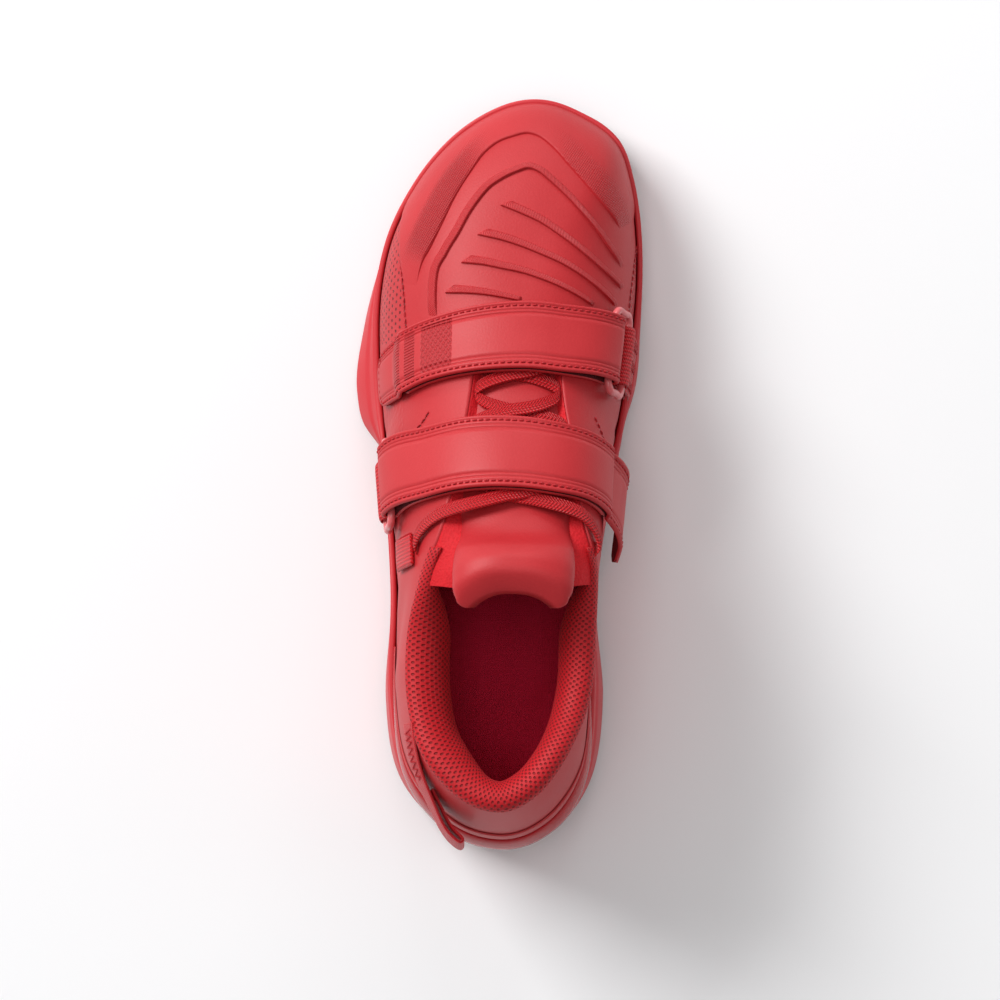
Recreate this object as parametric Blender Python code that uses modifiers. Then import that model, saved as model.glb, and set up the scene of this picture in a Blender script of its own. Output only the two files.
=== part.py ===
"""Weightlifting shoe, left foot: a raised stiff sole, a lasted hollow upper with moulded ribs, and two
hook-and-loop straps folded through metal rings.

Frame: +Y to the toe, +X to the inner (medial) side, +Z up. The origin is on the floor, under the middle
of the shoe's outline. Every curved piece is worked out from one last: the function last_point.
"""

import math

import bmesh
import bpy
import numpy as np
from mathutils import Vector

MM = 0.001

# Driving sizes of the sole
SHOE_LENGTH = 300 * MM
BALL_WIDTH = 114 * MM
FOREFOOT_STACK = 12 * MM
HEEL_LIFT = 21 * MM
OUTSOLE_THICKNESS = 4.6 * MM
LUG_DEPTH = 2.0 * MM
LUG_GROOVE = 3.0 * MM
TOE_SPRING = 8 * MM
ARCH_RISE = 2.5 * MM
HEEL_BEVEL = 1.5 * MM
CUP_WALL = 2.4 * MM
CUP_RISE_FRONT = 6 * MM
CUP_RISE_HEEL = 10 * MM
SIDE_STEP = 1.0 * MM
SOLE_LIP = 1.2 * MM
SOLE_CHAMFER = 0.6 * MM
SOLE_EDGE_HEIGHT = 2.5 * MM
CUP_FOOT = 0.5 * MM
CUP_ROOM = 0.5 * MM

# Driving sizes of the upper
INSTEP_HEIGHT = 112 * MM
UPPER_SET_BACK = 6.5 * MM
UPPER_SET_TOE = 2.0 * MM
TOE_DOME_DEPTH = 0.1733 * SHOE_LENGTH
TOE_CROWN = 0.45
HEEL_LEAN = 17 * MM
HEEL_LEAN_REACH = 0.2833 * SHOE_LENGTH
LEAN_START = 15 * MM
LEAN_RISE = 0.52 * INSTEP_HEIGHT
UPPER_WALL = 2.2 * MM
RIB_HEIGHT = 1.3 * MM
RIB_WIDTH = 3.6 * MM
CAP_STEP = 0.9 * MM
CAP_RIM_ROOM = 0.7 * MM
THROAT_FRONT = 0.6767 * SHOE_LENGTH

# Driving sizes of the soft and fitted pieces
GAP = 0.3 * MM
COLLAR_PAD = 11.5 * MM
COLLAR_PAD_LATERAL = 3.5 * MM
COLLAR_PAD_DEPTH = 34 * MM
INSOLE_THICKNESS = 4 * MM
INSOLE_ROUNDING = 0.4 * MM
TONGUE_ROLL = 11 * MM
TONGUE_BOW = 8 * MM
CLIP_THICKNESS = 2.0 * MM
CLIP_HEIGHT = 15 * MM
CLIP_REACH = 0.26 * SHOE_LENGTH
LACE_WIDTH = 5 * MM
LACE_THICKNESS = 1.6 * MM
LACE_FRONT = 0.655
LACE_PITCH = 0.0475
LACE_ROWS = 5
LACE_TOP_RUN = 0.114
LACE_EDGE_ROOM = 1.3 * MM
LACE_SINK = 1.5 * MM
LACE_CROSSING = 0.3 * MM
LACE_TOP_REACH = 0.50
STRAP_THICKNESS = 2.2 * MM
STRAP_CORNER = 7 * MM
STRAP_CLOSING = 26 * MM
STRAP_SETTLE_START = 1 * MM
STRAP_SETTLE_END = 7 * MM
RING_RADIUS = 1.5 * MM
RING_SPAN = 10.5 * MM
RING_SIDE_ROOM = 1.0 * MM
WEBBING_THICKNESS = 1.4 * MM
WEBBING_CLOSING = 6 * MM
PULL_WIDTH = 9 * MM
PULL_RISE = 9.2 * MM

HALF_WIDTH = BALL_WIDTH / 2


class Table:
    """Rows with named columns, read by a smooth curve through them."""

    def __init__(self, columns, rows, round_ends=False):
        names = columns.split()
        values = np.array(rows, float).T
        self.round_ends = round_ends
        self.keys = [end_angle(v) if round_ends else v for v in values[0]]
        self.columns = dict(zip(names[1:], values[1:]))

    def at(self, column, along):
        """The column's value at a share of the length."""
        key = end_angle(along) if self.round_ends else along
        return smooth_value(self.keys, self.columns[column], key)


def end_angle(along):
    """Share of the length to a parameter that runs evenly round both rounded ends."""
    return math.acos(1 - 2 * min(max(along, 0.0), 1.0)) / math.pi


def smooth_value(keys, values, key):
    """Cubic curve through the rows, with the slope of a parabola at each."""
    last = len(keys) - 1
    key = min(max(key, keys[0]), keys[last])
    i = 0
    while i < last - 1 and key > keys[i + 1]:
        i += 1

    def slope(k):
        if k == 0 or k == last:
            k0 = min(k, last - 1)
            return (values[k0 + 1] - values[k0]) / (keys[k0 + 1] - keys[k0])
        before = keys[k] - keys[k - 1]
        after = keys[k + 1] - keys[k]
        d0 = (values[k] - values[k - 1]) / before
        d1 = (values[k + 1] - values[k]) / after
        return (d0 * after + d1 * before) / (before + after)

    width = keys[i + 1] - keys[i]
    u = (key - keys[i]) / width
    rise = values[i + 1] - values[i]
    a = slope(i) * width
    b = slope(i + 1) * width
    return values[i] + u * a + u * u * (3 * rise - 2 * a - b) + u ** 3 * (a + b - 2 * rise)


def step(value, low, high):
    """0 below low, 1 above high, with a smooth ramp between."""
    u = min(max((value - low) / (high - low), 0.0), 1.0)
    return u * u * (3 - 2 * u)


# Outline of the sole at its widest: shares of the half ball width, from the shoe's long axis
SOLE = Table("along lateral medial", [
    (0.000, -0.02, 0.02),
    (0.012, 0.26, 0.29),
    (0.038, 0.47, 0.47),
    (0.092, 0.70, 0.65),
    (0.200, 0.805, 0.735),
    (0.340, 0.76, 0.69),
    (0.460, 0.77, 0.78),
    (0.530, 0.82, 0.85),
    (0.570, 0.965, 0.89),
    (0.610, 1.01, 0.955),
    (0.700, 0.96, 1.00),
    (0.800, 0.81, 1.005),
    (0.893, 0.565, 0.955),
    (0.947, 0.335, 0.855),
    (0.987, 0.03, 0.575),
    (1.000, -0.263, 0.263),
], round_ends=True)

# Outline of the upper where it meets the sole, on its own length between the two set-backs
FEATHER = Table("along lateral medial", [
    (0.000, -0.06, 0.06),
    (0.012, 0.21, 0.28),
    (0.038, 0.39, 0.44),
    (0.092, 0.58, 0.58),
    (0.200, 0.68, 0.63),
    (0.340, 0.68, 0.62),
    (0.460, 0.73, 0.71),
    (0.560, 0.79, 0.83),
    (0.640, 0.825, 0.90),
    (0.740, 0.82, 0.96),
    (0.810, 0.75, 0.965),
    (0.893, 0.54, 0.91),
    (0.947, 0.31, 0.81),
    (0.987, 0.01, 0.52),
    (1.000, -0.263, 0.263),
], round_ends=True)

# Sections of the last. crest is the height of the ridge above the floor, as a share of the instep height;
# middle is its place across, swell how far each side bellies out, both as shares of the half ball
# width; square is the power of each side's quarter curve, 2 for an ellipse and more for a box.
LAST = Table("along crest middle swell_l swell_m square_l square_m", [
    (0.00, 1.16, 0.11, 0.00, 0.00, 2.2, 2.2),
    (0.12, 1.12, 0.10, 0.03, 0.05, 2.1, 2.5),
    (0.25, 1.08, 0.09, 0.03, 0.13, 2.0, 3.1),
    (0.37, 1.03, 0.12, 0.03, 0.17, 2.0, 3.1),
    (0.50, 0.87, 0.16, 0.04, 0.09, 2.0, 2.7),
    (0.60, 0.735, 0.19, 0.03, 0.03, 2.0, 2.3),
    (0.68, 0.63, 0.20, 0.03, 0.03, 2.0, 2.2),
    (0.75, 0.57, 0.22, 0.03, 0.03, 2.1, 2.2),
    (0.82, 0.515, 0.24, 0.03, 0.02, 2.2, 2.2),
    (0.91, 0.46, 0.255, 0.02, 0.02, 2.2, 2.2),
    (1.00, 0.41, 0.263, 0.00, 0.00, 2.2, 2.2),
])

# Edge of the collar and of the throat's facings, as a share of the turn from the sole up to the ridge
OPENING = Table("along lateral medial", [
    (0.00, 0.53, 0.53),
    (0.10, 0.50, 0.48),
    (0.20, 0.44, 0.35),
    (0.29, 0.44, 0.34),
    (0.36, 0.54, 0.44),
    (0.42, 0.66, 0.60),
    (0.50, 0.74, 0.68),
    (0.60, 0.795, 0.765),
    (0.677, 0.82, 0.80),
    (0.80, 0.82, 0.82),
    (1.00, 0.82, 0.82),
])

# Each strap's two edges, as shares of the shoe's length, over the turn from lateral (-) to medial (+)
FOREFOOT_STRAP = Table("turn front rear", [
    (-0.80, 0.652, 0.584),
    (-0.56, 0.681, 0.600),
    (-0.37, 0.700, 0.617),
    (-0.18, 0.714, 0.627),
    (0.00, 0.720, 0.630),
    (0.23, 0.715, 0.625),
    (0.44, 0.708, 0.619),
    (0.60, 0.700, 0.611),
    (0.95, 0.680, 0.590),
])
INSTEP_STRAP = Table("turn front rear", [
    (-0.95, 0.500, 0.410),
    (-0.74, 0.520, 0.434),
    (-0.57, 0.545, 0.454),
    (-0.36, 0.558, 0.468),
    (-0.20, 0.567, 0.476),
    (-0.02, 0.568, 0.478),
    (0.16, 0.561, 0.472),
    (0.40, 0.547, 0.460),
    (0.62, 0.527, 0.437),
    (0.78, 0.505, 0.405),
    (0.95, 0.470, 0.365),
])

# Ribs moulded on the vamp: centre line in plan, across as a share of the half ball width
CHEVRON = [
    (-0.425, 0.710),
    (-0.400, 0.760),
    (-0.335, 0.801),
    (-0.235, 0.841),
    (-0.115, 0.880),
    (0.000, 0.896),
    (0.138, 0.902),
    (0.310, 0.904),
    (0.428, 0.888),
    (0.593, 0.857),
    (0.750, 0.824),
    (0.875, 0.780),
]
SLANTING_RIBS = [
    [(0.073, 0.857), (0.356, 0.828), (0.595, 0.801), (0.758, 0.780), (0.870, 0.760)],
    [(-0.083, 0.818), (0.193, 0.800), (0.433, 0.782), (0.678, 0.758), (0.860, 0.736)],
    [(-0.198, 0.781), (0.114, 0.767), (0.360, 0.750), (0.598, 0.731), (0.760, 0.717)],
    [(-0.299, 0.743), (-0.150, 0.739), (-0.041, 0.736), (0.090, 0.732)],
]

# Back edge of the raised toe cap, from the lateral side over the toe to the medial side
CAP_EDGE = Table("share u turn", [
    (0.00, 0.690, -0.80),
    (0.10, 0.708, -0.50),
    (0.22, 0.765, -0.47),
    (0.32, 0.820, -0.47),
    (0.42, 0.900, -0.53),
    (0.50, 1.000, -0.52),
])
CAP_EDGE_MEDIAL = Table("share u turn", [
    (0.00, 0.700, 0.82),
    (0.14, 0.745, 0.70),
    (0.26, 0.800, 0.54),
    (0.36, 0.870, 0.46),
    (0.44, 0.940, 0.49),
    (0.50, 1.000, 0.52),
])

# The tongue from its rolled end to its front: reach to each side as turns, then the lift of its top
# face from the last and its thickness, both as shares of the roll's thickness
TONGUE = Table("along lateral medial lift thick", [
    (0.335, 0.22, 0.25, 0.273, 0.455),
    (0.345, 0.24, 0.28, 0.500, 0.818),
    (0.365, 0.25, 0.29, 0.591, 1.000),
    (0.400, 0.26, 0.30, 0.318, 0.818),
    (0.430, 0.27, 0.32, -0.236, 0.545),
    (0.455, 0.30, 0.36, -0.345, 0.455),
    (0.480, 0.33, 0.40, -0.345, 0.455),
    (0.600, 0.32, 0.38, -0.309, 0.364),
    (0.660, 0.30, 0.34, -0.300, 0.273),
])

# The pull loop's tape, out along its face to the free fold and back: station, turn, and lift as a
# share of the loop's rise
PULL_TAPE = Table("share u turn lift", [
    (0.00, 0.255, -0.575, 0.098),
    (0.15, 0.215, -0.595, 0.109),
    (0.30, 0.170, -0.630, 0.217),
    (0.45, 0.120, -0.680, 0.500),
    (0.55, 0.075, -0.725, 0.935),
    (0.59, 0.060, -0.735, 1.000),
    (0.63, 0.058, -0.740, 0.826),
    (0.70, 0.080, -0.725, 0.630),
    (0.85, 0.115, -0.695, 0.283),
    (1.00, 0.145, -0.665, 0.130),
])


def ground(along):
    """Height of the sole's underside: arch, toe spring and a bevel at the back of the heel."""
    spring = TOE_SPRING * max(0.0, (along - 0.76) / 0.24) ** 2
    arch = ARCH_RISE * step(along, 0.34, 0.40) * (1 - step(along, 0.48, 0.54))
    bevel = HEEL_BEVEL * (1 - step(along, 0.0, 0.06))
    return spring + arch + bevel


def bed(along):
    """Height of the midsole's bed, on which the upper and the insole stand."""
    spring = TOE_SPRING * max(0.0, (along - 0.76) / 0.24) ** 2
    return FOREFOOT_STACK + HEEL_LIFT * (1 - step(along, 0.28, 0.66)) + spring


def share_of(y):
    return y / SHOE_LENGTH + 0.5


def outline_point(table, u, side, start, end, inset=0.0):
    """Point of an outline at parameter u (0 heel, 1 toe), moved inwards by inset."""

    def raw(v, sign):
        along = (1 - math.cos(math.pi * v)) / 2
        y = start + (end - start) * along - SHOE_LENGTH / 2
        column = "medial" if sign > 0 else "lateral"
        return np.array([sign * table.at(column, along) * HALF_WIDTH, y])

    point = raw(u, side)
    if inset:
        near = 0.004
        run = raw(min(u + near, 1.0), side) - raw(max(u - near, 0.0), side)
        inward = np.array([-run[1] * side, run[0] * side])
        if u in (0.0, 1.0):
            inward = np.array([0.0, 1.0 if u == 0.0 else -1.0])
        point = point + inset * inward / np.linalg.norm(inward)
    return point


def sole_edge(u, side, inset=0.0):
    return outline_point(SOLE, u, side, 0.0, SHOE_LENGTH, inset)


def feather_edge(u, side):
    return outline_point(FEATHER, u, side, UPPER_SET_BACK, SHOE_LENGTH - UPPER_SET_TOE)


def last_point(u, turn):
    """Outer surface of the upper. u runs from heel to toe; turn is -1 at the sole's lateral edge, 0 on
    the ridge and 1 at the medial edge. Past the throat the higher rows end further back, which domes
    the toe, and spread sideways, which rounds its crown; at the heel the higher rows lean forward."""
    side = 1 if turn > 0 else -1
    name = "m" if turn > 0 else "l"
    foot = feather_edge(u, side)
    along = share_of(foot[1])
    own_share = (1 - math.cos(math.pi * u)) / 2
    angle = (1 - abs(turn)) * math.pi / 2
    power = 2 / LAST.at("square_" + name, own_share)
    across = max(math.cos(angle), 0.0) ** power
    up = max(math.sin(angle), 0.0) ** power
    y = foot[1]
    dome_start = THROAT_FRONT - SHOE_LENGTH / 2
    tip = SHOE_LENGTH / 2 - UPPER_SET_TOE
    if y > dome_start:
        y = dome_start + (y - dome_start) * (1 - TOE_DOME_DEPTH / (tip - dome_start) * (1 - across))
    here = share_of(y)
    middle = LAST.at("middle", here) * HALF_WIDTH
    swell = side * LAST.at("swell_" + name, own_share) * HALF_WIDTH * math.sin(2 * angle)
    crown = 1 - TOE_CROWN * step(along, 0.72, 1.0)
    x = middle + (foot[0] - middle) * across ** crown + swell
    low = bed(along) + GAP
    crest = LAST.at("crest", here) * INSTEP_HEIGHT
    z = low + (crest - low) * up
    rise = max(0.0, z - low - LEAN_START) / LEAN_RISE
    lean = HEEL_LEAN * rise ** 1.3 * (1 - step(along * SHOE_LENGTH, 0.0, HEEL_LEAN_REACH))
    return np.array([x, y + lean, z])


def last_normal(u, turn):
    """Outward direction of the upper's surface. At the heel and toe tips both sides share one."""
    normal = side_normal(u, turn)
    if u in (0.0, 1.0):
        normal = normal + side_normal(u, -turn)
        normal[0] = 0.0
    return normal / np.linalg.norm(normal)


def side_normal(u, turn):
    """Direction square to the upper's surface, from points a little way round it."""
    near = 0.003
    v = min(max(u, 0.002), 0.998)
    w = min(max(turn, -0.985), 0.985)
    along = last_point(min(v + near, 1.0), w) - last_point(max(v - near, 0.0), w)
    over = last_point(v, w + near) - last_point(v, w - near)
    normal = np.cross(over, along)
    return normal / np.linalg.norm(normal)


def off_last(u, turn, distance):
    """Point at a distance outside the upper's surface, or inside it where the distance is negative."""
    return last_point(u, turn) + distance * last_normal(u, turn)


def station_at(y, turn):
    """Parameter u at which the row of this turn reaches y."""
    low, high = 0.0, 1.0
    for _ in range(20):
        middle = (low + high) / 2
        if last_point(middle, turn)[1] < y:
            low = middle
        else:
            high = middle
    return (low + high) / 2


def turn_at_height(u, side, z):
    """Turn at which the upper's surface reaches a height."""
    low, high = 0.0, 1.0
    for _ in range(18):
        middle = (low + high) / 2
        if last_point(u, side * middle)[2] > z:
            low = middle
        else:
            high = middle
    return side * (low + high) / 2


def turn_at_plan(x, y):
    """Turn of the upper's surface over a place in plan."""
    low, high = -0.98, 0.98
    for _ in range(16):
        middle = (low + high) / 2
        if last_point(station_at(y, middle), middle)[0] < x:
            low = middle
        else:
            high = middle
    return (low + high) / 2


def opening_turn(u, side):
    """Turn of the collar and throat edge."""
    column = "medial" if side > 0 else "lateral"
    return side * (1 - OPENING.at(column, (1 - math.cos(math.pi * u)) / 2))


def even(start, end, count):
    return [start + (end - start) * i / count for i in range(count + 1)]


def make_material(name, colour, roughness, metallic=0.0):
    """Plain Principled material."""
    material = bpy.data.materials.new(name)
    material.use_nodes = True
    shader = material.node_tree.nodes["Principled BSDF"]
    shader.inputs["Base Color"].default_value = (*colour, 1.0)
    shader.inputs["Roughness"].default_value = roughness
    shader.inputs["Metallic"].default_value = metallic
    material.diffuse_color = (*colour, 1.0)
    return material


def make_object(name, points, faces, material, collection, closed=True):
    """Mesh object from points and faces, with coinciding points joined."""
    shape = bmesh.new()
    verts = [shape.verts.new(Vector(p)) for p in points]
    for face in faces:
        corners = []
        for index in face:
            if verts[index] not in corners:
                corners.append(verts[index])
        if len(corners) > 2:
            shape.faces.new(corners)
    bmesh.ops.remove_doubles(shape, verts=shape.verts, dist=1e-6)
    bmesh.ops.dissolve_degenerate(shape, edges=shape.edges, dist=1e-6)
    if closed:
        bmesh.ops.recalc_face_normals(shape, faces=shape.faces)
    mesh = bpy.data.meshes.new(name)
    shape.to_mesh(mesh)
    shape.free()
    mesh.shade_smooth()
    mesh.set_sharp_from_angle(angle=math.radians(40))
    mesh.materials.append(material)
    item = bpy.data.objects.new(name, mesh)
    collection.objects.link(item)
    return item


def slab(name, outer, inner, material, collection):
    """Closed solid between two grids of points of the same size."""
    rows = len(outer)
    columns = len(outer[0])
    points = [p for row in outer for p in row] + [p for row in inner for p in row]
    half = rows * columns

    def at(i, j, face):
        return face * half + i * columns + j

    faces = []
    for i in range(rows - 1):
        for j in range(columns - 1):
            faces.append((at(i, j, 0), at(i + 1, j, 0), at(i + 1, j + 1, 0), at(i, j + 1, 0)))
            faces.append((at(i, j, 1), at(i, j + 1, 1), at(i + 1, j + 1, 1), at(i + 1, j, 1)))
    for i in range(rows - 1):
        faces.append((at(i, 0, 0), at(i, 0, 1), at(i + 1, 0, 1), at(i + 1, 0, 0)))
        far = columns - 1
        faces.append((at(i, far, 0), at(i + 1, far, 0), at(i + 1, far, 1), at(i, far, 1)))
    for j in range(columns - 1):
        faces.append((at(0, j, 0), at(0, j + 1, 0), at(0, j + 1, 1), at(0, j, 1)))
        far = rows - 1
        faces.append((at(far, j, 0), at(far, j, 1), at(far, j + 1, 1), at(far, j + 1, 0)))
    return make_object(name, points, faces, material, collection)


def loft(name, loops, material, collection):
    """Closed solid through loops; the first and last loop are folded flat, so they need no caps."""
    count = len(loops[0])
    points = [p for loop in loops for p in loop]
    faces = []
    for i in range(len(loops) - 1):
        for j in range(count):
            k = (j + 1) % count
            faces.append((i * count + j, i * count + k, (i + 1) * count + k, (i + 1) * count + j))
    return make_object(name, points, faces, material, collection)


def ribbon(name, centres, thickness, material, collection):
    """Strap or tape: a slab of even thickness about a grid of points, rows along it."""
    rows = len(centres)
    columns = len(centres[0])
    outer = []
    inner = []
    for i in range(rows):
        outer_row = []
        inner_row = []
        for j in range(columns):
            run = centres[min(i + 1, rows - 1)][j] - centres[max(i - 1, 0)][j]
            across = centres[i][min(j + 1, columns - 1)] - centres[i][max(j - 1, 0)]
            normal = np.cross(run, across)
            normal = normal / np.linalg.norm(normal) * thickness / 2
            outer_row.append(centres[i][j] + normal)
            inner_row.append(centres[i][j] - normal)
        outer.append(outer_row)
        inner.append(inner_row)
    return slab(name, outer, inner, material, collection)


def raise_to(plan, z):
    return np.array([plan[0], plan[1], z])


def mix(a, b, share):
    return a + (b - a) * share


def sole_inset_front(u):
    """1 at the toe tip, where the outsole's lip stands out past the midsole, and 0 elsewhere."""
    return step(u, 0.88, 0.95)


def make_outsole(material, collection):
    """Rubber sheet with lugs: its underside drops into grooves between rows and columns of blocks."""
    groove_places = [0.10, 0.18, 0.26, 0.57, 0.64, 0.71, 0.78, 0.85, 0.92]
    half_groove = LUG_GROOVE / 2 / SHOE_LENGTH
    wall = 0.25 * half_groove
    stations = [(0.0, 0), (0.004, 0), (0.015, 0), (0.03, 0), (0.06, 0), (0.34, 0), (0.37, 1), (0.44, 1)]
    stations += [(0.51, 1), (0.54, 0), (0.96, 0), (0.985, 0), (0.996, 0), (1.0, 0)]
    for place in groove_places:
        stations.append((place - half_groove - wall, 0))
        stations.append((place - half_groove, 1))
        stations.append((place + half_groove, 1))
        stations.append((place + half_groove + wall, 0))
    stations.sort()
    columns = [(0.0, 0), (0.30, 0), (0.315, 1), (0.355, 1), (0.37, 0)]
    columns += [(0.63, 0), (0.645, 1), (0.685, 1), (0.70, 0), (1.0, 0)]
    top = []
    bottom = []
    for along, grooved in stations:
        u = end_angle(along)
        inset = SOLE_LIP * (1 - sole_inset_front(u))
        left = sole_edge(u, -1, inset)
        right = sole_edge(u, 1, inset)
        low = ground(along)
        high = low + OUTSOLE_THICKNESS
        ends = 0.02 < along < 0.97
        top_row = []
        bottom_row = []
        for place, column_grooved in columns:
            plan = mix(left, right, place)
            cut = LUG_DEPTH if (grooved or (column_grooved and ends)) else 0.0
            top_row.append(raise_to(plan, high))
            bottom_row.append(raise_to(plan, low + cut))
        top.append(top_row)
        bottom.append(bottom_row)
    return slab("outsole", top, bottom, material, collection)


def cup_rise(along):
    """Height of the midsole's cupped wall above its bed."""
    return CUP_RISE_FRONT + (CUP_RISE_HEEL - CUP_RISE_FRONT) * (1 - step(along, 0.2, 0.5))


def cup_inner(u, side, height):
    """Point just outside the upper at a height above the bed, where the cup's wall begins."""
    along = share_of(feather_edge(u, side)[1])
    turn = turn_at_height(u, side, bed(along) + GAP + height)
    return off_last(u, turn, CUP_ROOM)


def make_midsole(material, collection):
    """Raised heel wedge whose side leans in to a cupped wall round the foot of the upper."""
    loops = []
    for u in even(0.0, 1.0, 42):
        halves = []
        for side in (-1, 1):
            plan = sole_edge(u, side)
            along = share_of(plan[1])
            low = ground(along) + OUTSOLE_THICKNESS + GAP
            lip = SOLE_LIP * sole_inset_front(u)
            rise = cup_rise(along)
            inner_top = cup_inner(u, side, rise)
            inner_foot = cup_inner(u, side, CUP_FOOT)
            inner_foot[2] = bed(share_of(feather_edge(u, side)[1]))
            outward = outline_normal(u, side)
            rim = inner_top + np.array([*(outward * CUP_WALL), 0.0])
            edge = raise_to(sole_edge(u, side, lip + SOLE_CHAMFER), low)
            wide = raise_to(sole_edge(u, side, lip), low + SOLE_EDGE_HEIGHT)
            # one step runs round the side, at three fifths of its height
            ledge = mix(wide, rim, 0.55)
            ledge_in = mix(wide, rim, 0.60) - np.array([*(outward * SIDE_STEP), 0.0])
            halves.append([edge, wide, ledge, ledge_in, rim, inner_top, inner_foot])
        left, right = halves
        foot = [mix(left[-1], right[-1], s) for s in (0.25, 0.5, 0.75)]
        base = [mix(right[0], left[0], s) for s in (0.25, 0.5, 0.75)]
        loops.append(left + foot + right[::-1] + base)
    return loft("midsole", loops, material, collection)


def outline_normal(u, side):
    """Outward direction of the sole's outline, in plan."""
    out = sole_edge(u, side) - sole_edge(u, side, 1 * MM)
    return out / np.linalg.norm(out)


def upper_stations():
    """Stations of the upper: even ones, with one exactly at the front of the throat."""
    throat = end_angle((THROAT_FRONT - UPPER_SET_BACK) / (SHOE_LENGTH - UPPER_SET_BACK - UPPER_SET_TOE))
    behind = even(0.0, throat, 23)
    ahead = even(throat, 1.0, 15)
    return behind + ahead[1:], len(behind) - 1


def make_upper(material, collection):
    """Hollow lasted shell: the outer skin of the last, left open at collar, throat and underneath, with
    a wall inwards. Toe cap and ribs are raised strips worked into it."""
    stations, throat = upper_stations()
    wall_rows = 6
    cover_rows = 6
    grid = []
    for u in stations:
        left = opening_turn(u, -1)
        right = opening_turn(u, 1)
        turns = even(-1.0, left, wall_rows)
        turns += even(left, right, cover_rows)[1:-1]
        turns += even(right, 1.0, wall_rows)
        grid.append([last_point(u, turn) for turn in turns])
    columns = len(grid[0])
    points = [p for row in grid for p in row]
    faces = []
    for i in range(len(grid) - 1):
        for j in range(columns - 1):
            covered = wall_rows <= j < wall_rows + cover_rows
            if covered and i < throat:
                continue
            a = i * columns + j
            faces.append((a, a + 1, a + columns + 1, a + columns))
    used = sorted({index for face in faces for index in face})
    place = {index: k for k, index in enumerate(used)}
    faces = [tuple(place[index] for index in face) for face in faces]
    points = [points[index] for index in used]
    upper = make_object("upper", points, faces, material, collection, closed=False)
    wall = upper.modifiers.new("wall", "SOLIDIFY")
    wall.thickness = UPPER_WALL
    wall.offset = -1
    wall.use_even_offset = True
    return upper


def make_insole(material, collection):
    """Sock liner on the bed, inside the upper."""
    top = []
    bottom = []
    for u in even(0.02, 0.978, 28):
        top_row = []
        bottom_row = []
        ends = [insole_edge(u, side) for side in (-1, 1)]
        along = share_of((ends[0][1] + ends[1][1]) / 2)
        for share in (0.0, 0.08, 0.5, 0.92, 1.0):
            plan = mix(ends[0], ends[1], share)
            round_off = INSOLE_ROUNDING if share in (0.0, 1.0) else 0.0
            bottom_row.append(raise_to(plan, bed(along) + GAP))
            top_row.append(raise_to(plan, bed(along) + GAP + INSOLE_THICKNESS - round_off))
        top.append(top_row)
        bottom.append(bottom_row)
    return slab("insole", top, bottom, material, collection)


def insole_edge(u, side):
    """Plan of the insole's edge: the upper's inner face, less a clearance."""
    foot = feather_edge(u, side)
    near = 0.004
    run = feather_edge(min(u + near, 1.0), side) - feather_edge(max(u - near, 0.0), side)
    inward = np.array([-run[1] * side, run[0] * side])
    return foot + (UPPER_WALL + 2 * GAP) * inward / np.linalg.norm(inward)


def arc_of_turn(u, turn):
    """Length along the section for one whole turn, at a place."""
    near = 0.01
    return np.linalg.norm(last_point(u, turn + near) - last_point(u, turn - near)) / (2 * near)


def strip_on_vamp(name, path, width, height, material, collection):
    """Raised rib with its foot in the wall, along a plan path, blunt at its start and tapered at its end."""
    outer = []
    inner = []
    count = 3 * (len(path) - 1)
    shares = even(0.0, len(path) - 1, count)
    keys = list(range(len(path)))
    xs = [p[0] * HALF_WIDTH for p in path]
    ys = [(p[1] - 0.5) * SHOE_LENGTH for p in path]
    for share in shares:
        x = smooth_value(keys, xs, share)
        y = smooth_value(keys, ys, share)
        dx = smooth_value(keys, xs, share + 0.05) - smooth_value(keys, xs, share - 0.05)
        dy = smooth_value(keys, ys, share + 0.05) - smooth_value(keys, ys, share - 0.05)
        run = math.hypot(dx, dy)
        taper = 1.0 - 0.45 * share / keys[-1]
        outer_row = []
        inner_row = []
        for place, lift in ((-0.5, -0.1), (-0.28, 1.0), (0.28, 1.0), (0.5, -0.1)):
            px = x - dy / run * place * width * taper
            py = y + dx / run * place * width * taper
            turn = turn_at_plan(px, py)
            u = station_at(py, turn)
            outer_row.append(off_last(u, turn, lift * height))
            inner_row.append(off_last(u, turn, -0.5 * UPPER_WALL))
        outer.append(outer_row)
        inner.append(inner_row)
    return slab(name, outer, inner, material, collection)


def toe_cap(material, collection):
    """The toe cap's layer: the vamp's surface in front of the cap's edge, raised by the step."""
    outer = []
    inner = []
    shares = even(0.0, 0.5, 9)
    edges = [(CAP_EDGE, -1, s) for s in shares] + [(CAP_EDGE_MEDIAL, 1, s) for s in shares[-2::-1]]
    for table, side, share in edges:
        u_edge = min(table.at("u", share), 1.0)
        turn_edge = table.at("turn", share)
        u_rim = u_edge + (1.0 - u_edge) * (share / 0.5) ** 0.6 if share < 0.5 else 1.0
        foot = feather_edge(u_rim, side)
        along = share_of(foot[1])
        rim_height = bed(along) + 2 * GAP + cup_rise(along) + CAP_RIM_ROOM
        turn_rim = turn_at_height(u_rim, side, rim_height)
        outer_row = []
        inner_row = []
        for place in (0.0, 0.03, 0.25, 0.5, 0.75, 1.0):
            u = mix(u_edge, u_rim, place)
            turn = mix(turn_edge, turn_rim, place)
            lift = 0.0 if place == 0.0 else CAP_STEP
            outer_row.append(off_last(u, turn, lift))
            inner_row.append(off_last(u, turn, -0.5 * UPPER_WALL))
        outer.append(outer_row)
        inner.append(inner_row)
    return slab("toe_cap_layer", outer, inner, material, collection)


def strap_point(table, turn, across, lift):
    """Point over the last at a turn, at a share of the strap's width from its front edge."""
    y = (mix(table.at("front", turn), table.at("rear", turn), across) - 0.5) * SHOE_LENGTH
    return off_last(station_at(y, turn), turn, lift)


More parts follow.
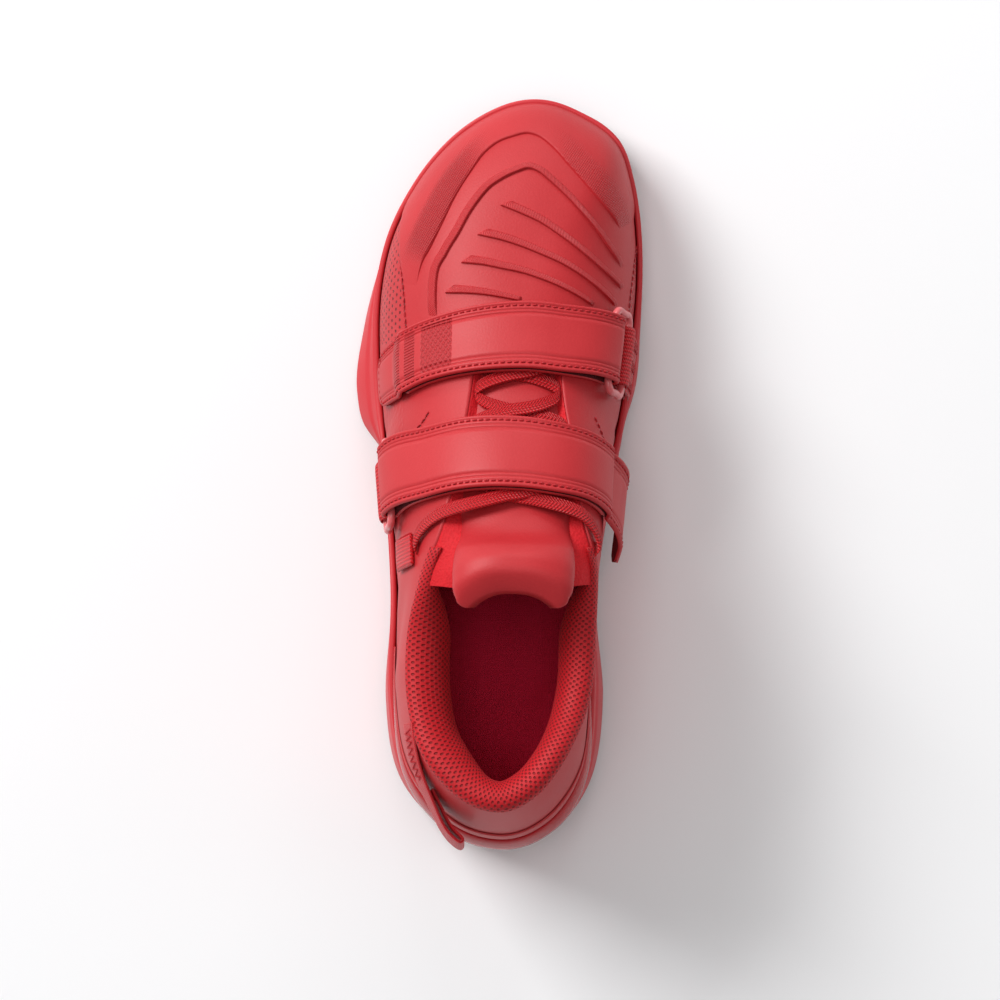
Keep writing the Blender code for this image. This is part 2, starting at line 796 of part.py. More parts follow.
def fold_lifts(layer):
    """Lift of the first layer, of a bar's centre above the last, and the radius of the fold round it."""
    first = GAP + layer / 2
    radius = layer / 2 + GAP + RING_RADIUS
    return first, first + radius, radius


def make_strap(name, table, side, bar_turn, start_turn, end_turn, material, collection):
    """One strip of strap: from its sewn start over the instep, round the ring's bar, and back over
    itself to its rounded free end."""
    first, bar_lift, radius = fold_lifts(STRAP_THICKNESS)
    middle = strap_point(table, bar_turn, 0.5, 0.0)
    arc = arc_of_turn(station_at(middle[1], bar_turn), bar_turn)
    second = first + STRAP_THICKNESS + GAP
    path = [(turn, first) for turn in even(start_turn, bar_turn, 16)]
    for degrees in (-60, -30, 0, 30, 60):
        angle = math.radians(degrees)
        out = side * radius * math.cos(angle) / arc
        path.append((bar_turn + out, bar_lift + radius * math.sin(angle)))
    for turn in even(bar_turn, end_turn, 17):
        from_bar = abs(turn - bar_turn) * arc
        from_start = (start_turn - turn) * side * arc
        drop = (bar_lift + radius - second) * (1 - step(from_bar, 0.0, STRAP_CLOSING))
        settle = (second - first) * step(from_start, STRAP_SETTLE_START, STRAP_SETTLE_END)
        path.append((turn, second + drop - settle))
    tail = 4
    corner = side * STRAP_CORNER / arc
    centres = []
    for k, (turn, lift) in enumerate(path):
        row = []
        for across in (0.0, 0.1, 0.35, 0.65, 0.9, 1.0):
            off_middle = max(0.0, (abs(2 * across - 1) - 0.4) / 0.6)
            cut = corner * (1 - math.sqrt(1 - off_middle ** 2))
            late = max(0.0, (k - (len(path) - 1 - tail)) / tail)
            row.append(strap_point(table, turn + cut * late, across, lift))
        centres.append(row)
    return ribbon(name, centres, STRAP_THICKNESS, material, collection)


def ring_bars(table, side, bar_turn):
    """Turns and lifts of a ring's two long bars: the near one in the strap, the far one in the webbing."""
    middle = strap_point(table, bar_turn, 0.5, 0.0)
    arc = arc_of_turn(station_at(middle[1], bar_turn), bar_turn)
    far_turn = bar_turn + side * RING_SPAN / arc
    return (bar_turn, fold_lifts(STRAP_THICKNESS)[1]), (far_turn, fold_lifts(WEBBING_THICKNESS)[1]), arc


def make_ring(name, table, side, bar_turn, material, collection):
    """Metal loop: a rounded rectangle of wire whose long bars lie along the shoe."""
    near, far, _ = ring_bars(table, side, bar_turn)
    width = (table.at("front", bar_turn) - table.at("rear", bar_turn)) * SHOE_LENGTH
    margin = (RING_RADIUS + RING_SIDE_ROOM) / width
    ends = (-margin, 1 + margin)
    route = []
    for (turn, lift), start, end in ((near, *ends), (far, *ends[::-1])):
        inwards = 0.12 * (0.5 - start) / abs(0.5 - start)
        for across in even(start + inwards * 0.3, end - inwards * 0.3, 4):
            route.append(strap_point(table, turn, across, lift))
        corner_turn = mix(near[0], far[0], 0.12 if turn == near[0] else 0.88)
        corner_lift = mix(near[1], far[1], 0.12 if turn == near[0] else 0.88)
        route.append(strap_point(table, corner_turn, end, corner_lift))
        other_turn = mix(near[0], far[0], 0.88 if turn == near[0] else 0.12)
        other_lift = mix(near[1], far[1], 0.88 if turn == near[0] else 0.12)
        route.append(strap_point(table, other_turn, end, other_lift))
    data = bpy.data.curves.new(name, "CURVE")
    data.dimensions = "3D"
    data.bevel_depth = RING_RADIUS
    data.bevel_resolution = 2
    spline = data.splines.new("POLY")
    spline.points.add(len(route) - 1)
    for point, place in zip(spline.points, route):
        point.co = (*place, 1.0)
    spline.use_cyclic_u = True
    data.materials.append(material)
    item = bpy.data.objects.new(name, data)
    collection.objects.link(item)
    return item


def make_webbing(name, table, side, bar_turn, end_turn, material, collection):
    """Webbing tab: two layers sewn down to the side of the upper, folded round the ring's far bar."""
    _, far, arc = ring_bars(table, side, bar_turn)
    first, _, radius = fold_lifts(WEBBING_THICKNESS)
    second = first + WEBBING_THICKNESS + GAP
    path = [(turn, first) for turn in even(end_turn, far[0], 5)]
    for degrees in (-60, -30, 0, 30, 60):
        angle = math.radians(degrees)
        out = -side * radius * math.cos(angle) / arc
        path.append((far[0] + out, far[1] + radius * math.sin(angle)))
    for turn in even(far[0], end_turn, 6):
        from_bar = abs(turn - far[0]) * arc
        drop = (far[1] + radius - second) * (1 - step(from_bar, 0.0, WEBBING_CLOSING))
        path.append((turn, second + drop))
    centres = []
    for turn, lift in path:
        centres.append([strap_point(table, turn, across, lift) for across in (0.06, 0.35, 0.65, 0.94)])
    return ribbon(name, centres, WEBBING_THICKNESS, material, collection)


def make_tongue(material, collection):
    """Padded tongue under the throat, with a thick rolled end above the instep."""
    top = []
    bottom = []
    for along in (0.335, 0.345, 0.365, 0.385, 0.405, 0.43, 0.455, 0.48, 0.52, 0.56, 0.60, 0.63, 0.655):
        bow = TONGUE_BOW * (1 - step(along, 0.335, 0.43))
        lift = TONGUE.at("lift", along) * TONGUE_ROLL
        thick = TONGUE.at("thick", along) * TONGUE_ROLL
        top_row = []
        bottom_row = []
        for share in (-1.0, -0.85, -0.5, 0.0, 0.5, 0.85, 1.0):
            reach = TONGUE.at("lateral" if share < 0 else "medial", along)
            turn = share * reach
            y = (along - 0.5) * SHOE_LENGTH + bow * (1 - share * share)
            u = station_at(y, turn)
            thinner = thick * (1 - 0.6 * abs(share) ** 4)
            middle = lift - thick / 2 if lift > -0.2 * TONGUE_ROLL else lift - thinner / 2
            top_row.append(off_last(u, turn, middle + thinner / 2))
            bottom_row.append(off_last(u, turn, middle - thinner / 2))
        top.append(top_row)
        bottom.append(bottom_row)
    return slab("tongue", top, bottom, material, collection)


def round_the_heel(front_share, count):
    """Stations and sides from the lateral side round the heel to the medial side."""
    front = end_angle(front_share)
    stations = [(u, -1) for u in even(front, 0.0, count)]
    return stations + [(u, 1) for u in even(0.0, front, count)[1:]]


def make_collar_padding(material, collection):
    """Padded lining inside the collar, rolled over its top edge."""
    outer = []
    inner = []
    for u, side in round_the_heel(0.385, 13):
        edge_height = last_point(u, opening_turn(u, side))[2]
        at_front = step(u, end_angle(0.26), end_angle(0.385))
        thicker = COLLAR_PAD_LATERAL * step(u, 0.0, end_angle(0.1)) if side < 0 else 0.0
        full = (COLLAR_PAD + thicker) * (1 - 0.62 * at_front)
        depth = COLLAR_PAD_DEPTH * (1 - 0.30 * at_front)
        outer_row = []
        inner_row = []
        for down, thickness in ((-0.09, 0.45), (0.03, 0.86), (0.25, 1.0), (0.6, 0.8), (1.0, 0.2)):
            turn = turn_at_height(u, side, edge_height - down * depth)
            lift = -UPPER_WALL - GAP
            outer_row.append(off_last(u, turn, lift))
            inner_row.append(off_last(u, turn, lift - thickness * full))
        outer.append(outer_row)
        inner.append(inner_row)
    return slab("collar_padding", outer, inner, material, collection)


def make_heel_clip(material, collection):
    """Glossy moulded counter round the back of the upper, standing on the midsole's rim."""
    outer = []
    inner = []
    for u, side in round_the_heel(CLIP_REACH / SHOE_LENGTH, 11):
        along = share_of(feather_edge(u, side)[1])
        low = bed(along) + GAP + cup_rise(along) + GAP
        taper = 1 - 0.75 * step(u, end_angle(0.04), end_angle(CLIP_REACH / SHOE_LENGTH))
        outer_row = []
        inner_row = []
        for share in (0.0, 0.35, 0.7, 1.0):
            height = low + share * CLIP_HEIGHT * taper
            turn = turn_at_height(u, side, height)
            thick = CLIP_THICKNESS * (1 - 0.5 * share ** 3)
            outer_row.append(off_last(u, turn, GAP + thick))
            inner_row.append(off_last(u, turn, GAP))
        for row in (outer_row, inner_row):
            row[0][2] = max(row[0][2], low)
        outer.append(outer_row)
        inner.append(inner_row)
    return slab("heel_clip", outer, inner, material, collection)


def make_pull_loop(material, collection):
    """Webbing tape sewn to the outer side of the heel, folded back on itself into a loop."""
    centres = []
    for share in (0.0, 0.15, 0.30, 0.45, 0.55, 0.59, 0.63, 0.70, 0.85, 1.0):
        u = PULL_TAPE.at("u", share)
        turn = PULL_TAPE.at("turn", share)
        lift = PULL_TAPE.at("lift", share) * PULL_RISE
        half = PULL_WIDTH / 2 / arc_of_turn(u, turn)
        centres.append([off_last(u, turn + place * half, lift) for place in (-1.0, 0.0, 1.0)])
    return ribbon("pull_loop", centres, WEBBING_THICKNESS, material, collection)


def make_lace(material, collection):
    """Flat lace over the tongue: two zigzags between the facings, joined where they cross, whose last
    runs climb over the facings to the top eyelets."""
    strips = []
    for first_side in (-1, 1):
        centres = []
        for row in even(0, LACE_ROWS - 2, 4 * (LACE_ROWS - 2)) + even(LACE_ROWS - 2, LACE_ROWS - 1, 8)[1:]:
            late = max(0.0, row - (LACE_ROWS - 2))
            along = LACE_FRONT - (row - late) * LACE_PITCH - LACE_TOP_RUN * late ** 1.6
            swing = math.cos(math.pi * row) * first_side
            side = 1 if swing > 0 else -1
            over = LACE_CROSSING * math.sin(math.pi * row) * first_side
            climb = step(late, 0.44, 0.72)
            lift = mix(over - LACE_SINK, 3.5 * GAP + LACE_THICKNESS / 2, climb)
            u = station_at((along - 0.5) * SHOE_LENGTH, 0.2 * side)
            edge = opening_turn(u, side)
            inside = abs(edge) - LACE_EDGE_ROOM / arc_of_turn(u, edge)
            reach = mix(inside, LACE_TOP_REACH, climb)
            run_half = LACE_WIDTH / 2 / SHOE_LENGTH
            rows = []
            for place in (-1.0, 0.0, 1.0):
                y = (along + place * run_half - 0.5) * SHOE_LENGTH
                turn = math.copysign(abs(swing) ** 0.8, swing) * reach
                rows.append(off_last(station_at(y, turn), turn, lift))
            centres.append(rows)
        name = "lace" if first_side < 0 else "lace_other"
        strips.append(ribbon(name, centres, LACE_THICKNESS, material, collection))
    return strips


def join_into(target, extra, guides, solver="EXACT"):
    """Boolean union of one more solid into a piece."""
    guides.objects.link(extra)
    for collection in list(extra.users_collection):
        if collection != guides:
            collection.objects.unlink(extra)
    extra.hide_render = True
    extra.display_type = "WIRE"
    union = target.modifiers.new("join_" + extra.name, "BOOLEAN")
    union.operation = "UNION"
    union.solver = solver
    union.object = extra


def clear_scene():
    for item in list(bpy.data.objects):
        bpy.data.objects.remove(item, do_unlink=True)


def make_shoe():
    clear_scene()
    shoe = bpy.data.collections.new("weightlifting_shoe")
    guides = bpy.data.collections.new("cutters")
    for collection in (shoe, guides):
        bpy.context.scene.collection.children.link(collection)
    leather = make_material("matte_leather", (0.60, 0.06, 0.07), 0.55)
    foam = make_material("midsole_shell", (0.58, 0.05, 0.06), 0.5)
    rubber = make_material("outsole_rubber", (0.25, 0.01, 0.02), 0.6)
    liner = make_material("sock_liner", (0.35, 0.0, 0.03), 0.9)
    mesh_lining = make_material("mesh_lining", (0.60, 0.01, 0.02), 0.85)
    gloss = make_material("gloss_clip", (0.55, 0.0, 0.01), 0.25)
    web = make_material("webbing", (0.60, 0.01, 0.02), 0.6)
    metal = make_material("painted_metal", (0.65, 0.20, 0.20), 0.35)
    make_outsole(rubber, shoe)
    make_midsole(foam, shoe)
    upper = make_upper(leather, shoe)
    join_into(upper, toe_cap(leather, shoe), guides, "MANIFOLD")
    chevron = strip_on_vamp("chevron_rib", CHEVRON, RIB_WIDTH, RIB_HEIGHT, leather, shoe)
    join_into(upper, chevron, guides, "MANIFOLD")
    for number, path in enumerate(SLANTING_RIBS, 1):
        rib = strip_on_vamp("slanting_rib_%d" % number, path, RIB_WIDTH, RIB_HEIGHT, leather, shoe)
        join_into(upper, rib, guides, "MANIFOLD")
    make_insole(liner, shoe)
    make_tongue(leather, shoe)
    make_collar_padding(mesh_lining, shoe)
    make_heel_clip(gloss, shoe)
    make_pull_loop(web, shoe)
    first, second = make_lace(web, shoe)
    join_into(first, second, guides)
    straps = (
        ("forefoot", FOREFOOT_STRAP, 1, 0.50, -0.52, -0.79, 0.89),
        ("instep", INSTEP_STRAP, -1, -0.64, 0.55, 0.90, -0.88),
    )
    for name, table, side, bar, start, end, tab_end in straps:
        make_strap(name + "_strap", table, side, bar, start, end, leather, shoe)
        make_ring(name + "_ring", table, side, bar, metal, shoe)
        make_webbing(name + "_ring_webbing", table, side, bar, tab_end, web, shoe)


make_shoe()
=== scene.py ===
"""Weightlifting shoe, left foot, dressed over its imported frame.

+Y runs to the toe, +X to the inner (medial) side, +Z up, in metres, with the floor at Z 0.
"""

import math

import bpy
import numpy as np
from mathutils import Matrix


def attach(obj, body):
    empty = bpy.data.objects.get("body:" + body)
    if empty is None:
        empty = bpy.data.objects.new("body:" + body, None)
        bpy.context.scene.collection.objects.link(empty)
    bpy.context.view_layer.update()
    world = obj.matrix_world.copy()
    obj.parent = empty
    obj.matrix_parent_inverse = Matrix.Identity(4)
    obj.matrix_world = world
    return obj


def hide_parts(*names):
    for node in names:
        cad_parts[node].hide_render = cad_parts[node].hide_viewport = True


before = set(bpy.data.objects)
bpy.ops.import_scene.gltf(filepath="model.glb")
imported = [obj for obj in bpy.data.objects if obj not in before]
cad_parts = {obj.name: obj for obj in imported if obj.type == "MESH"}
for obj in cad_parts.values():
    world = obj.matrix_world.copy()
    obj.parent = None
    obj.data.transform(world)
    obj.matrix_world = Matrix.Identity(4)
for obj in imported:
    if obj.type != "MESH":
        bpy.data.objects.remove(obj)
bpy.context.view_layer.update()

MM = 0.001


# Midsole: one stiff moulded shell, matt red, that raises the heel and cups the foot of the upper. It is
# made in a mould, with a ledge round its side, and the upper is lasted and cemented down into its cup.
SHOE_LENGTH = 300 * MM
HALF_WIDTH = 57 * MM
FOREFOOT_STACK = 12 * MM
HEEL_LIFT = 21 * MM
OUTSOLE_THICKNESS = 4.6 * MM
TOE_SPRING = 8 * MM
GAP = 0.3 * MM


class Sections:
    """Sizes at shares of the shoe's length, read by a smooth curve through each column."""

    def __init__(self, columns, rows, round_ends=False):
        table = np.array(rows, float)
        self.round_ends = round_ends
        self.keys = end_angle(table[:, 0]) if round_ends else table[:, 0]
        self.columns = dict(zip(columns.split()[1:], table[:, 1:].T))

    def at(self, column, along):
        keys = self.keys
        values = self.columns[column]
        key = end_angle(along) if self.round_ends else np.asarray(along, float)
        key = np.clip(key, keys[0], keys[-1])
        width = np.diff(keys)
        rise = np.diff(values)
        grade = rise / width
        slopes = np.empty(len(values))
        slopes[0] = grade[0]
        slopes[-1] = grade[-1]
        slopes[1:-1] = (grade[:-1] * width[1:] + grade[1:] * width[:-1]) / (width[:-1] + width[1:])
        i = np.clip(np.searchsorted(keys, key) - 1, 0, len(keys) - 2)
        t = (key - keys[i]) / width[i]
        a = slopes[i] * width[i]
        b = slopes[i + 1] * width[i]
        return values[i] + t * a + t * t * (3 * rise[i] - 2 * a - b) + t ** 3 * (a + b - 2 * rise[i])


def end_angle(along):
    """Share of the length as a parameter that runs evenly round both rounded ends."""
    return np.arccos(1 - 2 * np.clip(along, 0.0, 1.0)) / math.pi


def along_at(u):
    """Share of the length at the parameter that end_angle gives."""
    return (1 - np.cos(math.pi * u)) / 2


def ease(value, low, high):
    """0 below low and 1 above high, with a smooth ramp between."""
    t = np.clip((value - low) / (high - low), 0.0, 1.0)
    return t * t * (3 - 2 * t)


def unit(vectors):
    """The same directions, with a length of one."""
    return vectors / np.linalg.norm(vectors, axis=-1, keepdims=True)


SOLE = Sections("along lateral medial", [
    (0.000, -0.02, 0.02),
    (0.012, 0.26, 0.29),
    (0.038, 0.47, 0.47),
    (0.092, 0.70, 0.65),
    (0.200, 0.805, 0.735),
    (0.340, 0.76, 0.69),
    (0.460, 0.77, 0.78),
    (0.530, 0.82, 0.85),
    (0.570, 0.965, 0.89),
    (0.610, 1.01, 0.955),
    (0.700, 0.96, 1.00),
    (0.800, 0.81, 1.005),
    (0.893, 0.565, 0.955),
    (0.947, 0.335, 0.855),
    (0.987, 0.03, 0.575),
    (1.000, -0.263, 0.263),
], round_ends=True)
FEATHER = Sections("along lateral medial", [
    (0.000, -0.06, 0.06),
    (0.012, 0.21, 0.28),
    (0.038, 0.39, 0.44),
    (0.092, 0.58, 0.58),
    (0.200, 0.68, 0.63),
    (0.340, 0.68, 0.62),
    (0.460, 0.73, 0.71),
    (0.560, 0.79, 0.83),
    (0.640, 0.825, 0.90),
    (0.740, 0.82, 0.96),
    (0.810, 0.75, 0.965),
    (0.893, 0.54, 0.91),
    (0.947, 0.31, 0.81),
    (0.987, 0.01, 0.52),
    (1.000, -0.263, 0.263),
], round_ends=True)
LAST = Sections("along crest middle swell_l swell_m square_l square_m", [
    (0.00, 1.16, 0.11, 0.00, 0.00, 2.2, 2.2),
    (0.12, 1.12, 0.10, 0.03, 0.05, 2.1, 2.5),
    (0.25, 1.08, 0.09, 0.03, 0.13, 2.0, 3.1),
    (0.37, 1.03, 0.12, 0.03, 0.17, 2.0, 3.1),
    (0.50, 0.87, 0.16, 0.04, 0.09, 2.0, 2.7),
    (0.60, 0.735, 0.19, 0.03, 0.03, 2.0, 2.3),
    (0.68, 0.63, 0.20, 0.03, 0.03, 2.0, 2.2),
    (0.75, 0.57, 0.22, 0.03, 0.03, 2.1, 2.2),
    (0.82, 0.515, 0.24, 0.03, 0.02, 2.2, 2.2),
    (0.91, 0.46, 0.255, 0.02, 0.02, 2.2, 2.2),
    (1.00, 0.41, 0.263, 0.00, 0.00, 2.2, 2.2),
])
INSTEP_HEIGHT = 112 * MM
UPPER_SET_BACK = 6.5 * MM
UPPER_SET_TOE = 2.0 * MM
THROAT_FRONT = 0.6767 * SHOE_LENGTH
TOE_DOME_DEPTH = 0.1733 * SHOE_LENGTH
TOE_CROWN = 0.45
HEEL_LEAN = 17 * MM
HEEL_LEAN_REACH = 0.2833 * SHOE_LENGTH
LEAN_START = 15 * MM
LEAN_RISE = 0.52 * INSTEP_HEIGHT


def share_of(y):
    return y / SHOE_LENGTH + 0.5


def y_of(share):
    return (share - 0.5) * SHOE_LENGTH


def outline(table, u, side, start, end):
    """Edge in plan at parameter u, 0 at the heel and 1 at the toe, on the side that is -1 or 1."""
    along = along_at(u)
    y = start + (end - start) * along - SHOE_LENGTH / 2
    x = np.where(side > 0, table.at("medial", along), -table.at("lateral", along)) * HALF_WIDTH
    return x, y


def feather(u, side):
    return outline(FEATHER, u, side, UPPER_SET_BACK, SHOE_LENGTH - UPPER_SET_TOE)


def spring(along):
    return TOE_SPRING * np.maximum(0.0, (along - 0.76) / 0.24) ** 2


def bed(along):
    """Height of the bed that the upper and the insole stand on."""
    return FOREFOOT_STACK + HEEL_LIFT * (1 - ease(along, 0.28, 0.66)) + spring(along)


def last_point(u, turn):
    """The upper's outer face. turn is -1 at the sole's lateral edge, 0 on the ridge, 1 at the medial."""
    u, turn = np.broadcast_arrays(np.asarray(u, float), np.asarray(turn, float))
    side = np.where(turn > 0, 1.0, -1.0)
    foot_x, foot_y = feather(u, side)
    along = share_of(foot_y)
    own = along_at(u)
    angle = (1 - np.abs(turn)) * math.pi / 2
    power = 2 / np.where(side > 0, LAST.at("square_m", own), LAST.at("square_l", own))
    across = np.maximum(np.cos(angle), 0.0) ** power
    up = np.maximum(np.sin(angle), 0.0) ** power
    dome = THROAT_FRONT - SHOE_LENGTH / 2
    tip = SHOE_LENGTH / 2 - UPPER_SET_TOE
    domed = dome + (foot_y - dome) * (1 - TOE_DOME_DEPTH / (tip - dome) * (1 - across))
    y = np.where(foot_y > dome, domed, foot_y)
    here = share_of(y)
    middle = LAST.at("middle", here) * HALF_WIDTH
    swell = np.where(side > 0, LAST.at("swell_m", own), LAST.at("swell_l", own))
    crown = 1 - TOE_CROWN * ease(along, 0.72, 1.0)
    x = middle + (foot_x - middle) * across ** crown + side * swell * HALF_WIDTH * np.sin(2 * angle)
    low = bed(along) + GAP
    z = low + (LAST.at("crest", here) * INSTEP_HEIGHT - low) * up
    rise = np.maximum(0.0, z - low - LEAN_START) / LEAN_RISE
    lean = HEEL_LEAN * rise ** 1.3 * (1 - ease(along * SHOE_LENGTH, 0.0, HEEL_LEAN_REACH))
    return np.stack([x, y + lean, z], axis=-1)


def off_last(u, turn, lift=0.0):
    """Point at a distance outside the upper's face. At the heel and toe tips both sides share one normal."""
    u, turn, lift = np.broadcast_arrays(*(np.asarray(v, float) for v in (u, turn, lift)))
    near = 0.003
    v = np.clip(u, 0.002, 0.998)

    def square(w):
        w = np.clip(w, -0.985, 0.985)
        along = last_point(np.minimum(v + near, 1.0), w) - last_point(np.maximum(v - near, 0.0), w)
        over = last_point(v, w + near) - last_point(v, w - near)
        return unit(np.cross(over, along))

    normal = square(turn)
    tip = ((u <= 0.0) | (u >= 1.0))[..., None]
    both = (normal + square(-turn)) * np.array([0.0, 1.0, 1.0])
    normal = np.where(tip, unit(both), normal)
    return last_point(u, turn) + lift[..., None] * normal


def halve(low, high, above):
    """Where a test that is false at low turns true at high, by halving."""
    for _ in range(22):
        middle = (low + high) / 2
        over = above(middle)
        high = np.where(over, middle, high)
        low = np.where(over, low, middle)
    return (low + high) / 2


def turn_at_height(u, side, z):
    """Turn at which one side of the upper is as high as z."""
    u, side, z = np.broadcast_arrays(*(np.asarray(v, float) for v in (u, side, z)))
    found = halve(np.zeros(u.shape), np.ones(u.shape), lambda t: last_point(u, side * t)[..., 2] <= z)
    return side * found


def laid(name, points, wraps=False, flip=False, marks=None):
    """A grid laid over the places in points, its UV map in millimetres. wraps joins the last column to
    the first, and rows that shrink to a line close the ends. marks holds values to keep at the places."""
    marks = dict(marks or {})
    if wraps:
        points = np.concatenate([points, points[:, :1]], axis=1)
        marks = {word: np.concatenate([values, values[:, :1]], axis=1) for word, values in marks.items()}
    rows, columns = points.shape[:2]
    bpy.ops.object.select_all(action="DESELECT")
    bpy.ops.mesh.primitive_grid_add(x_subdivisions=rows - 1, y_subdivisions=columns - 1, size=1)
    piece = bpy.context.object
    piece.name = name
    mesh = piece.data
    mesh.name = name
    flat = np.empty(rows * columns * 3, np.float32)
    mesh.vertices.foreach_get("co", flat)
    place = flat.reshape(-1, 3)
    i = np.rint((place[:, 0] + 0.5) * (rows - 1)).astype(int)
    j = np.rint((place[:, 1] + 0.5) * (columns - 1)).astype(int)
    mesh.vertices.foreach_set("co", points[i, j].astype(np.float32).ravel())
    for word, values in marks.items():
        mark = mesh.attributes.new(word, "FLOAT", "POINT")
        mark.data.foreach_set("value", values[i, j].astype(np.float32))
    runs = np.linalg.norm(np.diff(points, axis=0), axis=-1).mean(axis=1).cumsum() / MM
    widths = np.linalg.norm(np.diff(points, axis=1), axis=-1).mean(axis=0).cumsum() / MM
    runs = np.concatenate([[0.0], runs])
    widths = np.concatenate([[0.0], widths])
    corner = np.empty(len(mesh.loops) * 2, np.float32)
    uv = mesh.uv_layers[0].data
    uv.foreach_get("uv", corner)
    corner = corner.reshape(-1, 2)
    corner[:, 0] = runs[np.rint(corner[:, 0] * (rows - 1)).astype(int)]
    corner[:, 1] = widths[np.rint(corner[:, 1] * (columns - 1)).astype(int)]
    uv.foreach_set("uv", corner.ravel())
    bpy.ops.object.mode_set(mode="EDIT")
    bpy.ops.mesh.select_all(action="SELECT")
    bpy.ops.mesh.remove_doubles(threshold=0.000005)
    if wraps:
        bpy.ops.mesh.normals_make_consistent(inside=False)
    elif flip:
        bpy.ops.mesh.flip_normals()
    bpy.ops.object.mode_set(mode="OBJECT")
    bpy.ops.object.shade_smooth()
    return piece


def fitted(piece, finish, slot, *nodes):
    """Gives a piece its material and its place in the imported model."""
    piece.data.materials.clear()
    piece.data.materials.append(finish)
    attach(piece, "root")
    if nodes:
        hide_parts(*nodes)


def rounded(corners, radius, steps=4):
    """Closed loops of points whose corners are eased by a short curve; corners has a row for each."""
    start, end = [corners + way * np.minimum(radius / np.linalg.norm(way, axis=-1), 0.45)[..., None]
                  for way in (np.roll(corners, step, axis=0) - corners for step in (1, -1))]
    return np.array([(1 - t) ** 2 * start[k] + 2 * t * (1 - t) * corners[k] + t * t * end[k]
                     for k in range(len(corners)) for t in np.linspace(0.0, 1.0, steps)])


class Wire:
    """A socket in a material's nodes; sums on it add Math nodes."""

    def __init__(self, socket):
        self.socket = socket

    def add(self, kind, settings, inputs, output=0):
        """One more node in the same material, with its settings first, and the wire out of it."""
        tree = self.socket.id_data
        node = tree.nodes.new(kind)
        for name, value in settings.items():
            setattr(node, name, value)
        for name, value in inputs.items():
            if isinstance(value, Wire):
                tree.links.new(value.socket, node.inputs[name])
            else:
                node.inputs[name].default_value = value
        return Wire(node.outputs[output])

    def math(self, operation, first, second):
        return self.add("ShaderNodeMath", {"operation": operation}, {0: first, 1: second})

    def __add__(self, other):
        return self.math("ADD", self, other)

    __radd__ = __add__

    def __sub__(self, other):
        return self.math("SUBTRACT", self, other)

    def __rsub__(self, other):
        return self.math("SUBTRACT", other, self)

    def __mul__(self, other):
        return self.math("MULTIPLY", self, other)

    __rmul__ = __mul__

    def __abs__(self):
        return self.math("ABSOLUTE", self, 0.0)

    def within(self, low, high, soft):
        """1 between low and high, with soft edges, 0 outside."""
        return self.ramp(low - soft, low + soft) * (1 - self.ramp(high - soft, high + soft))

    def mark(self, word):
        """A value kept at the places of a piece."""
        return self.add("ShaderNodeAttribute", {"attribute_name": word}, {}, 2)

    def waves(self, pitch):
        """A ripple from 0 to 1 that repeats every pitch."""
        return self.math("SINE", self * (2 * math.pi / pitch), 0.0) * 0.5 + 0.5

    def ramp(self, low, high):
        """0 at low, 1 at high, smooth between."""
        settings = {"interpolation_type": "SMOOTHSTEP"}
        return self.add("ShaderNodeMapRange", settings, {"Value": self, "From Min": low, "From Max": high})

    def parts(self):
        """The X, Y and Z of a vector."""
        node = self.add("ShaderNodeSeparateXYZ", {}, {"Vector": self}).socket.node
        return [Wire(socket) for socket in node.outputs]

    def noise(self, scale, detail=2.0, rough=0.5):
        return self.add("ShaderNodeTexNoise", {},
                        {"Vector": self, "Scale": scale, "Detail": detail, "Roughness": rough})

    def cells(self, scale, feature="F1"):
        return self.add("ShaderNodeTexVoronoi", {"feature": feature}, {"Vector": self, "Scale": scale})

    def shade(self, dark, light):
        """A colour between two, by this value."""
        return self.add("ShaderNodeMix", {"data_type": "RGBA"}, {0: self, 6: (*dark, 1), 7: (*light, 1)}, 2)


def new_finish(name, roughness, coat=0.0, sheen=0.0, gloss=0.35):
    """A material with its shader's fixed values, and the wires of its object places and its UV map."""
    material = bpy.data.materials.new(name)
    material.use_nodes = True
    shader = material.node_tree.nodes["Principled BSDF"]
    fixed = {"Roughness": roughness, "Coat Weight": coat, "Coat Roughness": 0.12, "Sheen Weight": sheen,
             "Sheen Roughness": 0.5, "Sheen Tint": (1.0, 0.12, 0.14, 1.0), "Specular IOR Level": gloss}
    for word, value in fixed.items():
        shader.inputs[word].default_value = value
    places = material.node_tree.nodes.new("ShaderNodeTexCoord")
    return material, Wire(places.outputs["Object"]), Wire(places.outputs["UV"])


def complete(material, colour, height, depth, roughness=None):
    """Joins a colour and a relief, depth metres deep, to the shader."""
    tree = material.node_tree
    shader = tree.nodes["Principled BSDF"]
    tree.links.new(colour.socket, shader.inputs["Base Color"])
    bump = colour.add("ShaderNodeBump", {}, {"Strength": 1.0, "Distance": depth, "Height": height})
    tree.links.new(bump.socket, shader.inputs["Normal"])
    if roughness is not None:
        tree.links.new(roughness.socket, shader.inputs["Roughness"])
    return material


def moulded_red():
    material, place, _ = new_finish("moulded_shell", 0.46)
    fine = place.noise(2600.0, 2.0)
    wide = place.noise(22.0, 3.0)
    colour = (wide * 0.7 + fine * 0.3).shade((0.52, 0.024, 0.032), (0.64, 0.040, 0.050))
    return complete(material, colour, fine, 0.00006, wide * 0.12 + 0.40)


CUP_WALL = 2.4 * MM
CUP_ROOM = 0.5 * MM
CUP_RISE_FRONT = 6 * MM
CUP_RISE_HEEL = 10 * MM
SIDE_STEP = 1.0 * MM
SIDE_FOOT_INSET = 0.6 * MM
SIDE_BELLY_RISE = 2.5 * MM
SIDE_LEDGE = 0.55
SOLE_LIP = 1.2 * MM
ARCH_RISE = 2.5 * MM
HEEL_ROLL = 1.5 * MM
MIDSOLE_ROUND = 0.9 * MM
CROSS_ROWS = (0.33, 0.67)


